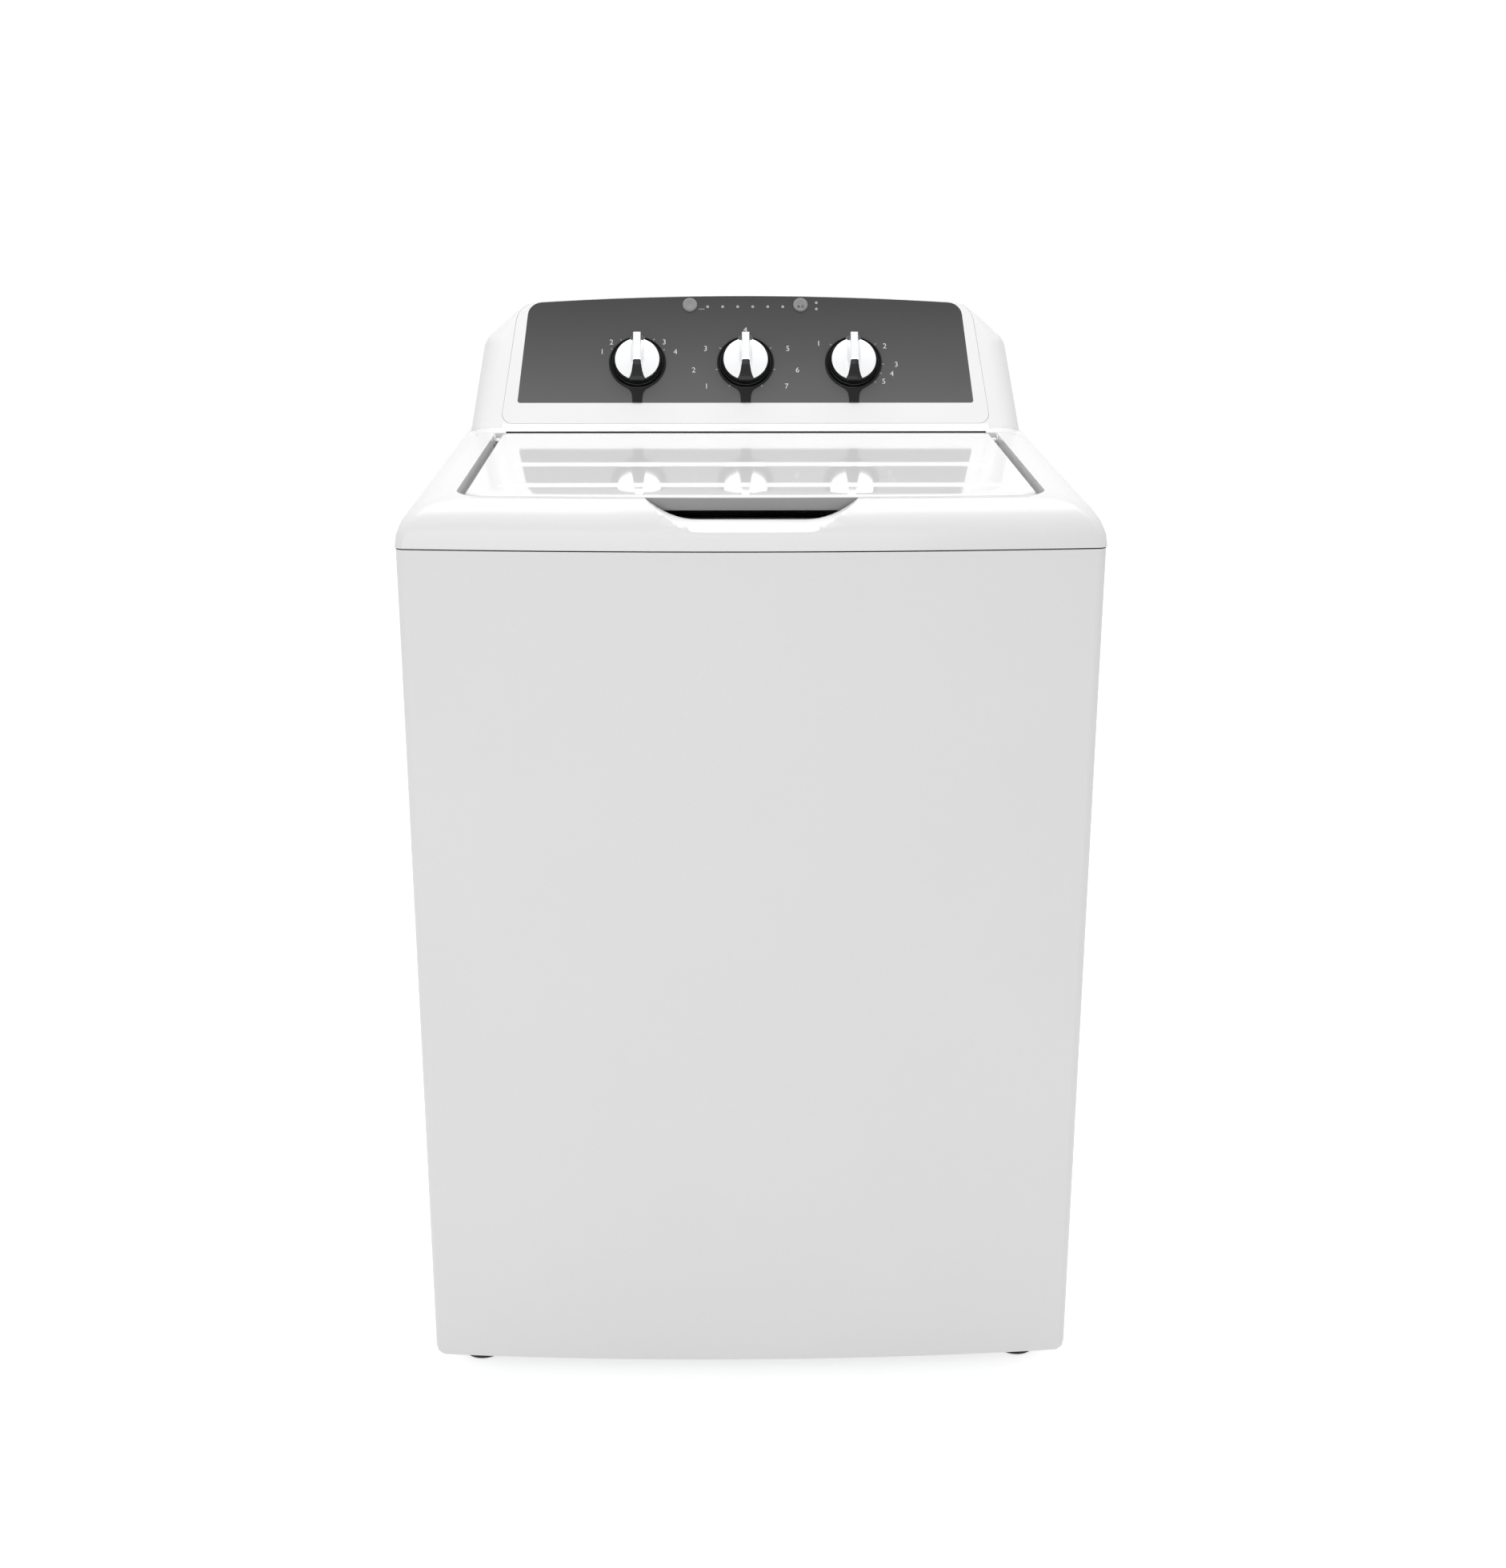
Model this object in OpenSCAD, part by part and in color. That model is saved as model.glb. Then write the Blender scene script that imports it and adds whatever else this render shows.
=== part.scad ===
// Top load washing machine. Millimetres, +Z up, the front faces -Y, origin on the floor under the centre.

/* [Cabinet] */
// Overall width, over the top cover
overall_w = 690; // [670:1:710]
// Overall depth, front of the cabinet to the hose spigots
overall_d = 686; // [660:1:720]
// Height of the flat top cover above the floor
deck_h = 972; // [950:1:1000]
// Clearance under the cabinet
leg_h = 34; // [30:1:40]
// How far the front bows forward at its middle
front_bow = 15.6; // [8:0.2:20]
// Thickness of the cabinet sheet
panel_t = 1.2; // [0.8:0.1:2]
// Outside radius of the cabinet's vertical bends
bend_r = 10; // [6:1:14]
// Width of the folded flanges
flange_w = 14; // [10:1:18]
// Height of the base frame
base_h = 30; // [24:1:36]
// Depth taken by the hose spigots behind the rear panel
spigot_l = 21; // [16:1:26]
// Distance of each foot in from the cabinet's side
leg_inset_x = 45; // [40:1:60]
// Distance of the front feet behind the cover's front
leg_inset_front = 79; // [75:1:95]
// Distance of the rear feet in front of the rear flanges
leg_inset_rear = 58; // [50:1:75]
// Radius of the rubber foot
foot_r = 23; // [18:1:26]
// Radius of the leg's stud
stud_r = 5; // [4:0.5:6]

/* [Top cover] */
// Height of the cover's side band
cover_h = 46; // [40:1:52]
// Sheet thickness of the cover
cover_t = 2.5; // [1.5:0.1:3]
// How far the cover stands out past the cabinet
cover_lip = 1; // [0:0.1:2]
// Height of the dark seam between cabinet and cover
seam_h = 1.5; // [1:0.1:3]
// Width of the rolled shoulder round the cover
shoulder_w = 45; // [36:1:50]
// Depth of the recess that holds the lid
recess_h = 27; // [24:1:32]
// Half width of the loading mouth
mouth_x = 240; // [220:1:250]
// Corner radius of the loading mouth
mouth_r = 120; // [90:1:140]
// Half width of the finger scoop's flat bottom
scoop_x = 51; // [40:1:70]
// Half width of the finger scoop at the top
scoop_top_x = 105; // [90:1:120]
// Depth of the finger scoop
scoop_h = 22; // [14:1:24]

/* [Lid] */
// Width of the lid
lid_w = 562; // [540:1:566]
// Lid length, front edge to back edge
lid_l = 403; // [390:1:410]
// Height of the lid's folded edge
lid_t = 14.3; // [12:0.1:16]
// Gap round the lid at its sides
lid_side_gap = 8; // [5:0.5:9]
// Gap in front of the lid and behind it
lid_end_gap = 5; // [4:0.5:8]
// Sheet thickness of the lid
lid_sheet = 1.2; // [0.8:0.1:2]
// Width of the lid's cross ribs
lid_rib_w = 17; // [10:1:24]
// Radius of the hinge pins
hinge_r = 3; // [2.5:0.1:4]

/* [Console] */
// Height of the console above the top cover
console_h = 146; // [138:1:160]
// Lean of the console face back from upright
face_tilt = 31; // [25:1:36]
// Distance of the overlay's lower edge behind the lid
face_set = 56; // [52:1:64]
// Height of the overlay's lower edge above the top cover
face_rise = 26.5; // [22:0.5:30]
// Wall thickness of the console mouldings
console_t = 3; // [2:0.1:4]
// Radius of the console's round end caps
end_r = 30; // [22:1:34]
// Thickness of the dark overlay
overlay_t = 0.8; // [0.5:0.1:1.2]
// Distance between dials
dial_pitch = 127; // [115:1:135]
// Radius of the dial bezel
bezel_r = 33.5; // [30:0.5:38]
// Radius of the knob's black skirt
knob_r = 31; // [27:0.5:34]
// Radius of the knob's silver cap
cap_r = 26.5; // [22:0.5:28]
// Height of the knob's grip above the console face
knob_h = 25; // [18:1:30]
// Width of the knob's grip
grip_w = 9.2; // [7:0.1:12]
// Radius of the push buttons
button_r = 8.65; // [7:0.05:10]
// Travel of the push buttons
button_travel = 1.2; // [0.8:0.1:1.6]

/* [Drum] */
// Distance from the centre back to the drum's axis (negative is towards the front)
drum_y = -22; // [-30:1:-14]
// Outside radius of the outer tub
tub_r = 283; // [270:1:290]
// Height of the tub's floor above the floor of the room
tub_z = 252; // [240:1:270]
// Height of the tub's top rim above the floor of the room
tub_top = 852; // [830:1:862]
// Wall thickness of the outer tub
tub_t = 3.5; // [2.5:0.1:5]
// Outside radius of the basket
basket_r = 258; // [245:1:262]
// Wall thickness of the basket
basket_t = 1.2; // [0.8:0.1:2]
// Height of the basket's side wall
basket_h = 520; // [480:5:530]
// Number of columns of drain holes in the basket
hole_columns = 16; // [8:4:20]
// Radius of the agitator's foot
agitator_r = 205; // [180:1:220]
// Height of the agitator
agitator_h = 438; // [400:1:450]
// Height of the vanes along the agitator's post
vane_h = 330; // [280:1:350]
// Number of vanes on the agitator
vane_count = 4; // [3:1:6]
// Diameter of the drive pulley
drive_pulley_d = 170; // [150:1:190]
// Diameter of the motor pulley
motor_pulley_d = 44; // [36:1:56]
// Distance between the pulleys' axes
belt_span = 190; // [175:1:205]
// Distance from the drum's axis to each suspension rod, along X and along Y
rod_xy = 243; // [238:1:248]
// Radius of the suspension rods
rod_r = 3; // [2.5:0.1:4]

/* [Hidden] */
$fn = 48;
gap = 0.3;          // parts that move past each other
run = 0.05;         // running fit of a pin in its bore
front_y = -overall_d/2;
rear_y = overall_d/2 - spigot_l;
half_w = overall_w/2 - cover_lip;
cover_z = deck_h - cover_h;
wall_top = cover_z - seam_h;
overall_h = deck_h + console_h;
// Radius of a bow that rises by `rise` over the half chord `half`
function bow_radius(half, rise) = (half*half + rise*rise)/(2*rise);
bow_r = bow_radius(overall_w/2, front_bow);
inner_x = half_w - panel_t;
leg_x = half_w - leg_inset_x;
front_leg_y = front_y + leg_inset_front;
rear_leg_y = rear_y - leg_inset_rear;

// ---- outlines ----
function arc(c, r, a0, a1, n) = [for (i = [0:n]) c + r*[cos(a0 + (a1 - a0)*i/n), sin(a0 + (a1 - a0)*i/n)]];
function unit(v) = v/norm(v);
function corner(p0, p1, p2, r, n) =
    let (a = unit(p0 - p1), b = unit(p2 - p1), half = acos(a*b)/2, c = p1 + unit(a + b)*r/sin(half),
        s = p1 + a*r/tan(half) - c, e = p1 + b*r/tan(half) - c, a0 = atan2(s.y, s.x),
        turn = (atan2(e.y, e.x) - a0 + 540) % 360 - 180)
    [for (i = [0:n]) c + r*[cos(a0 + turn*i/n), sin(a0 + turn*i/n)]];
// Closed outline with each corner rounded to its own radius; 0 keeps the point
function rounded(pts, radii, n = 6) = let (m = len(pts))
    [for (i = [0:m - 1]) each radii[i] > 0
        ? corner(pts[(i + m - 1) % m], pts[i], pts[(i + 1) % m], radii[i], n) : [pts[i]]];
function box_outline(x0, y0, x1, y1, r, n = 6) =
    rounded([[x0, y0], [x1, y0], [x1, y1], [x0, y1]], [r, r, r, r], n);
// Plan of a box with a bowed front: half width, front, back, bow radius, corner radii
function bowed(hw, yf, yb, R, rf, rb, n = 20, nc = 6) =
    let (a = asin((hw - rf)/(R - rf)), c = [hw - rf, yf + R - (R - rf)*cos(a)])
    concat([for (i = [0:n]) let (t = -a + 2*a*i/n) [R*sin(t), yf + R - R*cos(t)]],
        arc(c, rf, -90 + a + (90 - a)/nc, 0, nc - 1), arc([hw - rb, yb - rb], rb, 0, 90, nc),
        arc([rb - hw, yb - rb], rb, 90, 180, nc),
        arc([-c.x, c.y], rf, 180, 270 - a - (90 - a)/nc, nc - 1));
// Solid through a stack of outlines that all have as many points: [[z, outline], ...]
module loft(levels) {
    n = len(levels[0][1]);
    m = len(levels);
    polyhedron([for (l = levels) each [for (p = l[1]) [p.x, p.y, l[0]]]],
        concat([[for (i = [0:n - 1]) i]],
            [for (k = [0:m - 2]) each [for (i = [0:n - 1]) let (j = (i + 1) % n)
                [k*n + i, (k + 1)*n + i, (k + 1)*n + j, k*n + j]]],
            [[for (i = [n - 1:-1:0]) (m - 1)*n + i]]));
}
// Tube of radius r along points, each ring square to the route
module sweep(route, r, sides = 10) {
    n = len(route);
    function along(i) = unit(route[min(i + 1, n - 1)] - route[max(i - 1, 0)]);
    rings = [for (i = [0:n - 1]) let (d = along(i), ref = abs(d.z) > 0.9 ? [1, 0, 0] : [0, 0, 1],
        u = unit(cross(ref, d)), v = cross(d, u))
        [for (k = [0:sides - 1]) route[i] + r*(cos(360*k/sides)*u + sin(360*k/sides)*v)]];
    polyhedron([for (ring = rings) each ring],
        concat([[for (k = [sides - 1:-1:0]) k]],
            [for (i = [0:n - 2]) each [for (k = [0:sides - 1]) let (j = (k + 1) % sides)
                [i*sides + k, i*sides + j, (i + 1)*sides + j, (i + 1)*sides + k]]],
            [[for (k = [0:sides - 1]) (n - 1)*sides + k]]));
}
function bezier(a, b, c, d, n) = [for (i = [0:n]) let (t = i/n, s = 1 - t)
    s*s*s*a + 3*s*s*t*b + 3*s*t*t*c + t*t*t*d];
module ring(r_out, r_in, z0, z1) {
    translate([0, 0, z0]) difference() {
        cylinder(r = r_out, h = z1 - z0);
        translate([0, 0, -1]) cylinder(r = r_in, h = z1 - z0 + 2);
    }
}
module each_corner(x, y0, y1) { for (sx = [-1, 1], y = [y0, y1]) translate([sx*x, y, 0]) children(); }
module both_sides() { children(); mirror([1, 0, 0]) children(); }
module at_drum() { translate([0, drum_y, 0]) children(); }

// ---- cabinet ----
module wrapper_plan(inset) {
    polygon(bowed(half_w - inset, front_y + cover_lip + inset, rear_y - inset, bow_r - inset,
        max(bend_r - inset, 1), 2));
}
module cabinet_wrapper() color("white") {
    foot_r0 = 16;
    intersection() {
        difference() {
            translate([0, 0, leg_h]) linear_extrude(wall_top - leg_h) wrapper_plan(0);
            translate([0, 0, leg_h + panel_t]) linear_extrude(wall_top - leg_h - 2*panel_t)
                wrapper_plan(panel_t);
            translate([0, 0, leg_h - 1]) linear_extrude(wall_top - leg_h + 2) wrapper_plan(flange_w);
            // open back between the two folded rear flanges
            translate([-half_w + flange_w, 0, 0]) cube([2*(half_w - flange_w), overall_d, deck_h]);
            screw_holes(panel_screws(), rear_y);
        }
        translate([0, overall_d, 0]) rotate([90, 0, 0]) linear_extrude(2*overall_d)
            polygon(rounded([[-half_w - 1, leg_h - 1], [half_w + 1, leg_h - 1], [half_w + 1, deck_h],
                [-half_w - 1, deck_h]], [foot_r0, foot_r0, 0, 0]));
    }
}
base_z = leg_h + panel_t;
frame_w = 46;
module base_frame() color("dimgray") {
    difference() {
        union() {
            difference() {
                translate([0, 0, base_z]) linear_extrude(base_h) wrapper_plan(panel_t + gap);
                translate([0, 0, base_z + 2]) linear_extrude(base_h) wrapper_plan(panel_t + gap + 2);
                translate([0, 0, base_z - 1]) linear_extrude(base_h) wrapper_plan(frame_w + panel_t);
            }
            difference() {
                translate([0, 0, base_z]) linear_extrude(base_h*0.6) wrapper_plan(frame_w + panel_t - 2);
                translate([0, 0, base_z - 1]) linear_extrude(base_h) wrapper_plan(frame_w + panel_t);
            }
            // corner plates that take the legs
            intersection() {
                translate([0, 0, base_z]) linear_extrude(4) wrapper_plan(panel_t + gap);
                translate([0, 0, base_z]) each_corner(inner_x, front_y, rear_y)
                    rotate(45) cube([200, 200, 20], center = true);
            }
            translate([0, 0, base_z]) each_corner(leg_x, front_leg_y, rear_leg_y) cylinder(r = stud_r + 5, h = 12);
        }
        each_corner(leg_x, front_leg_y, rear_leg_y) translate([0, 0, leg_h]) cylinder(r = stud_r + run, h = 40);
    }
}
rib_d = 5;
// Upright rib with round ends, standing out along +Y
module rib(r, depth) { rotate([-90, 0, 0]) linear_extrude(depth) polygon(concat(
    arc([0, -r], r, 0, 180, 8), arc([0, r - rib_l], r, 180, 360, 8))); }
module rear_panel() color("gainsboro") {
    y1 = rear_y - panel_t - gap;
    z0 = base_z + base_h + gap;
    hw = inner_x - gap - 2;
    difference() {
        union() {
            translate([-hw, y1 - panel_t, z0]) cube([2*hw, panel_t, wall_top - panel_t - gap - z0]);
            // pressed stiffening ribs
            for (x = [-2:2]) translate([x*110, y1 - rib_d - panel_t, rib_z]) rib(20, rib_d + panel_t);
        }
        for (x = [-2:2]) translate([x*110, y1 - rib_d, rib_z + panel_t]) rib(20 - panel_t, rib_d + 1);
        for (x = [valve_x - spigot_pitch/2, valve_x + spigot_pitch/2])
            translate([x, y1 - 20, valve_z]) rotate([-90, 0, 0]) cylinder(r = spigot_r + 2, h = 40);
        translate([port_x, y1 - 20, port_z]) rotate([-90, 0, 0]) cylinder(r = port_r + 4, h = 40);
        translate([cord_x, y1 - 20, cord_z]) rotate([-90, 0, 0]) cylinder(r = 9, h = 40);
        for (x = [-3:3]) translate([x*40 - 2, y1 - 20, wall_top - 30]) cube([24, 40, 4]);
        screw_holes(panel_screws(), y1);
    }
}
valve_x = 110;
valve_z = deck_h - 92;
spigot_pitch = 62;
spigot_r = 13.3;
port_x = -210;
port_z = valve_z - 30;
port_r = 14;
rib_z = base_z + base_h + gap + 60;
rib_l = port_z - 104 - rib_z;      // the ribs end below the drain port
cord_x = -20;
cord_z = valve_z;
// Triangular plates under the cover that hang the suspension rods
bracket_z = wall_top - panel_t - 30;
rod_front_y = drum_y - rod_xy;
rod_rear_y = drum_y + rod_xy;
module bracket(sy, y) {
    edge_y = sy < 0 ? front_y + front_bow + bend_r : rear_y - 2*panel_t - 2*gap - flange_w;
    difference() {
        union() {
            linear_extrude(3) polygon([[inner_x - gap, y - sy*60], [inner_x - gap, edge_y],
                [rod_xy - 50, edge_y], [rod_xy - 30, y - sy*18], [rod_xy + 20, y - sy*24]]);
            // upturned ear that screws to the cabinet wall
            translate([inner_x - gap - 2, min(y - sy*60, edge_y), 0])
                cube([2, abs(edge_y - y + sy*60), 29]);
        }
        translate([rod_xy, y, -1]) cylinder(r = rod_r + 3, h = 10);
    }
}
module corner_brackets() color("silver") translate([0, 0, bracket_z]) both_sides() {
    bracket(-1, rod_front_y);
    bracket(1, rod_rear_y);
}
screw_r = 2;
function panel_screws() = [for (sx = [-1, 1], k = [0:3])
    [sx*(inner_x - flange_w/2), base_z + 60 + k*(wall_top - base_z - 160)/3]];
function cover_screws() = [for (k = [-3:2:3]) [k*arch_w/3, deck_h + 16]];
module screw_holes(points, y) {
    for (p = points) translate([p.x, y + 10, p.y]) rotate([90, 0, 0]) cylinder(r = screw_r, h = 30);
}
module screw(r, l) { cylinder(r = r*2, h = r, $fn = 6); translate([0, 0, -l]) cylinder(r = r, h = l + 0.01); }
module cabinet_screws() color("silver") {
    for (p = panel_screws()) translate([p.x, rear_y, p.y]) rotate([-90, 0, 0]) screw(screw_r, 8);
    for (p = cover_screws()) translate([p.x, console_rear, p.y]) rotate([-90, 0, 0]) screw(screw_r, 8);
}

// ---- top cover ----
lid_front = front_y + 41;
lid_back = lid_front + lid_l;
seat_y = lid_back + 6;        // the console starts here
seat_x = half_w - 36;
face_y = lid_back + face_set;
recess_x = lid_w/2 + lid_side_gap;
recess_front = lid_front - lid_end_gap;
recess_back = lid_back + lid_end_gap - 1;
recess_floor = deck_h - recess_h;
mouth_y0 = recess_front + 33;
mouth_y1 = recess_back - 20;
function shoulder(inset, a) = let (d = shoulder_w*(1 - cos(a)))
    bowed(overall_w/2 - inset - d, front_y + inset + d, rear_y - inset, bow_r - inset - d,
        max(bend_r + 0.55*d - inset/2, 3), 4, 14, 4);
function shoulder_loops(inset, up) = [for (a = up ? [0:15:90] : [90:-15:0])
    [cover_z + (cover_h - inset)*sin(a), shoulder(inset, a)]];
module shoulder_solid() { loft(shoulder_loops(0, true)); }
// One skin that runs down the inside and back up the outside
module shoulder_shell() { loft(concat(shoulder_loops(cover_t, false), shoulder_loops(0, true))); }
module recess_plan(inset) {
    polygon(bowed(recess_x - inset, recess_front + inset, recess_back - inset, bow_r - 40, 30 - inset, 3));
}
module mouth_plan(grow = 0) {
    polygon(box_outline(-mouth_x - grow, mouth_y0 - grow, mouth_x + grow, mouth_y1 + grow,
        mouth_r + grow, 8));
}
// Front view of the scoop: a flat bottom at z, its ends curling up to the deck
function scoop_section(z, drop) = let (side = [for (t = [0:0.125:1]) [scoop_x + (scoop_top_x - scoop_x)*t,
        z + (deck_h - z)*pow(t, 2.1) - drop]])
    concat([[-scoop_top_x - 8, deck_h + 20]], [for (k = [8:-1:0]) [-side[k].x, side[k].y]], side,
        [[scoop_top_x + 8, deck_h + 20]]);
// The bottom rises a little from the lid to a rounded crest and falls away to the front
scoop_run = [[-cover_t - 1, 0], [0, 0], [6, 1.4], [12, 2.4], [17, 2], [23, -0.6], [31, -6], [48, -22]];
module scoop_cut(drop) {
    rotate([90, 0, 0]) loft([for (p = scoop_run) [p.x - recess_front, scoop_section(deck_h - scoop_h + p.y, drop)]]);
}
module top_cover() color("white") difference() {
    union() {
        // shell in front of the console, which sits on a narrower seat
        intersection() {
            shoulder_shell();
            translate([-overall_w, front_y - 10, cover_z - 1]) cube([2*overall_w, seat_y + 10 - front_y, 100]);
        }
        // inner flange that rests on the cabinet
        translate([0, 0, wall_top]) linear_extrude(seam_h + 4) difference() {
            wrapper_plan(2);
            wrapper_plan(flange_w + 6);
            translate([-overall_w, seat_y]) square(2*overall_w);
        }
        // pan round the lid, and a turned down rim round the loading mouth
        translate([0, 0, recess_floor - cover_t]) linear_extrude(recess_h + cover_t - 1) recess_plan(-cover_t);
        translate([0, 0, recess_floor - 14]) linear_extrude(14) mouth_plan(cover_t);
        // rolled lip of the finger scoop
        intersection() {
            shoulder_solid();
            scoop_cut(cover_t + 1);
        }
        difference() {
            translate([-seat_x, seat_y - cover_t, wall_top])
                cube([2*seat_x, seat_back - seat_y + cover_t, seat_top - wall_top]);
            translate([-seat_x + cover_t, seat_y - cover_t - 1, wall_top - 1])
                cube([2*(seat_x - cover_t), seat_back - seat_y + 1, seat_top - wall_top - cover_t + 1]);
            translate([-200, face_y - 7, deck_h - 10]) cube([400, seat_back - face_y - 37, 20]);
        }
    }
    translate([0, 0, recess_floor]) linear_extrude(60) recess_plan(0);
    translate([0, 0, recess_floor - 20]) linear_extrude(60) mouth_plan();
    scoop_cut(0);
    // hinge bores through the recess walls
    both_sides() translate([recess_x - 10, hinge_y, hinge_z]) rotate([0, 90, 0])
        cylinder(r = bushing_r, h = 30);
    translate([strike_x, strike_y, recess_floor - 10]) cube([18, strike_w + 7, 40], center = true);
    translate([-strike_x, strike_y, recess_floor - 20]) cylinder(r = cup_r, h = 30);
}
seat_back = rear_y - 8;
seat_top = deck_h - console_t;
hinge_y = lid_back - 7;
hinge_z = deck_h - 7;
bushing_r = 6;
strike_x = 246;
strike_y = recess_front + 37;
cup_r = 24;
chute_l = 130;
module hinge_bushings() color("whitesmoke") both_sides()
    translate([recess_x - 2, hinge_y, hinge_z]) rotate([0, 90, 0]) difference() {
        union() { cylinder(r = bushing_r, h = 12); cylinder(r = bushing_r + 1, h = 1.8); }
        translate([0, 0, -1]) cylinder(r = hinge_r + run, h = 14);
    }
module bleach_dispenser() color("whitesmoke") translate([-strike_x, strike_y, 0]) {
    z = recess_floor - 34;
    difference() {
        union() {
            translate([0, 0, z]) cylinder(r = cup_r - gap, h = 34);
            translate([0, 0, recess_floor]) cylinder(r = cup_r + 2, h = 1.5);
            // chute into the gap between tub and basket
            rotate(45) translate([0, 0, z]) cube([chute_l, 16, 14]);
        }
        translate([0, 0, z + 2]) cylinder(r = cup_r - gap - 2, h = 40);
        rotate(45) translate([-10, 2, z + 2]) cube([chute_l + 20, 12, 10]);
    }
}
bolt_w = 5;
strike_w = 10;
strike_t = 3;
lock_z = recess_floor - cover_t;
bolt_z = lock_z - 16;
module lid_lock_housing() color("dimgray") translate([strike_x, strike_y, 0]) difference() {
    translate([-14, -strike_w/2 - 6, lock_z - 30]) cube([50, strike_w + 12, 30]);
    translate([-9, -strike_w/2 - 3.5, lock_z - 28]) cube([18, strike_w + 7, 40]);
    translate([0, -bolt_w/2 - gap, bolt_z - gap]) cube([34, bolt_w + 2*gap, 6 + 2*gap]);
}
module lid_lock_bolt() color("orange") translate([strike_x + strike_t/2 + 1.5, strike_y - bolt_w/2, bolt_z])
    cube([24, bolt_w, 6]);

// ---- lid ----
lid_top = deck_h + 0.4;
lid_bow = bow_r - 41;
function lid_outline(inset) = bowed(lid_w/2 - inset, lid_front + inset, lid_back - inset, lid_bow - inset,
    24 - inset, 8 - min(inset, 6));
// Edge of the lid as [depth below the top, inset], from the fold upwards
lid_edge = [[lid_t, 0], [4, 0], [2.2, 0.8], [0.8, 2.2], [0, 4]];
module lid_panel() color("white") difference() {
    union() {
        loft(concat([for (i = [len(lid_edge) - 1:-1:0]) let (e = lid_edge[i])
                [lid_top - (i == 0 ? e[0] : e[0] + lid_sheet), lid_outline(e[1] + lid_sheet)]],
            [for (e = lid_edge) [lid_top - e[0], lid_outline(e[1])]]));
        // two shallow cross ribs pressed upwards
        for (f = lid_rib_at) translate([0, lid_front + lid_l*f, lid_top - 0.4]) rotate([0, 90, 0])
            linear_extrude(lid_w - 60, center = true) polygon([for (a = [0:15:180])
                [-lid_rib_h*sin(a), lid_rib_w/2*cos(a)]]);
    }
    both_sides() translate([lid_w/2 - 12, hinge_y, hinge_z]) rotate([0, 90, 0]) cylinder(r = hinge_r, h = 20);
}
lid_rib_at = [0.15, 0.46];
lid_rib_h = 1.6;
liner_z = lid_top - lid_t;
module lid_liner() color("whitesmoke") difference() {
    union() {
        translate([0, 0, liner_z]) linear_extrude(2) polygon(lid_outline(lid_sheet + gap));
        translate([0, 0, liner_z + 1]) linear_extrude(lid_t - lid_sheet - 1 - gap) difference() {
            polygon(box_outline(-lid_w/2 + 50, lid_front + 70, lid_w/2 - 50, lid_back - 40, 40));
            polygon(box_outline(-lid_w/2 + 52, lid_front + 72, lid_w/2 - 52, lid_back - 42, 38));
        }
        both_sides() translate([lid_w/2 - 40, hinge_y - 9, liner_z]) cube([36, 13.2, lid_t - lid_sheet - 2.6]);
    }
    both_sides() translate([lid_w/2 - 50, hinge_y, hinge_z]) rotate([0, 90, 0]) cylinder(r = hinge_r, h = 60);
}
module lid_hinge_pins() color("silver") both_sides() translate([lid_w/2 - 34, hinge_y, hinge_z])
    rotate([0, 90, 0]) cylinder(r = hinge_r, h = lid_side_gap + 34 + 8);
module lid_bumpers() color("gray") for (sx = [-1, 1])
    translate([sx*(lid_w/2 - 90), lid_front + 22, recess_floor + gap]) cylinder(r1 = 5, r2 = 6.5, h = liner_z - recess_floor - gap);
module lid_strike() color("silver") translate([strike_x, strike_y, 0]) difference() {
    translate([-strike_t/2, -strike_w/2, bolt_z - 6]) cube([strike_t, strike_w, liner_z - bolt_z + 6]);
    translate([-5, -bolt_w/2 - 1, bolt_z - 1.5]) cube([10, bolt_w + 2, 9]);
}

// ---- console ----
face_z = deck_h + face_rise;
up = [0, sin(face_tilt), cos(face_tilt)];
out = [0, -cos(face_tilt), sin(face_tilt)];
module on_face() { translate([0, face_y, face_z]) rotate([90 - face_tilt, 0, 0]) children(); }
function face_point(s, h) = [0, face_y, face_z] + s*up + h*out;
function s_at(z, r) = (z - face_z + r*sin(face_tilt))/cos(face_tilt);
console_rear = rear_y - 4;
arch_w = half_w - 105;
arch_drop = 7;
module face_ball(x, s, r, w) {
    translate([x, 0, 0]) translate(face_point(s, -r)) sphere(r = r - w, $fn = 32);
}
module console_ball(x, z, r, w) { face_ball(x, s_at(z, r), r, w); }
module console_hull(w) {
    top = overall_h - 5;
    both_sides() hull() {
        for (i = [0:4]) console_ball(i*arch_w/4, top - arch_drop*i*i/16, 5, min(w, 4));
        // the face stays flat out to just past the fascia's round corner
        for (a = [18, 40, 62])
            face_ball(fascia_c.x + (fascia_r + 1.5)*cos(a), fascia_c.y + (fascia_r + 1.5)*sin(a), 4, min(w, 3));
        console_ball(half_w - 63, overall_h - 68, end_r, w);
        console_ball(half_w - end_r - 20, deck_h - 10, end_r, w);
        console_ball(0, deck_h - 10, end_r, w);
        for (p = [[0, top - 16, 8], [arch_w, top - 22, 8], [half_w - 55, overall_h - 60, 10],
            [half_w - 30, deck_h - 10, 14], [0, deck_h - 10, 14]])
            translate([p.x, console_rear - p.z, p.y]) sphere(r = p.z - min(w, p.z - 1), $fn = 20);
    }
}
fascia_bottom = 1.9 - face_rise;
face_l = (console_h - face_rise)/cos(face_tilt);      // length of the leaning face
overlay_top = face_l - 2.9;
fascia_x = half_w - 76.5;
fascia_top = overlay_top + 0.3;
fascia_drop = 9.4;
fascia_r = 26;
fascia_c = [fascia_x - fascia_r + 3.2, fascia_top - fascia_drop - fascia_r - 1.6];    // middle of the upper corner
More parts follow.
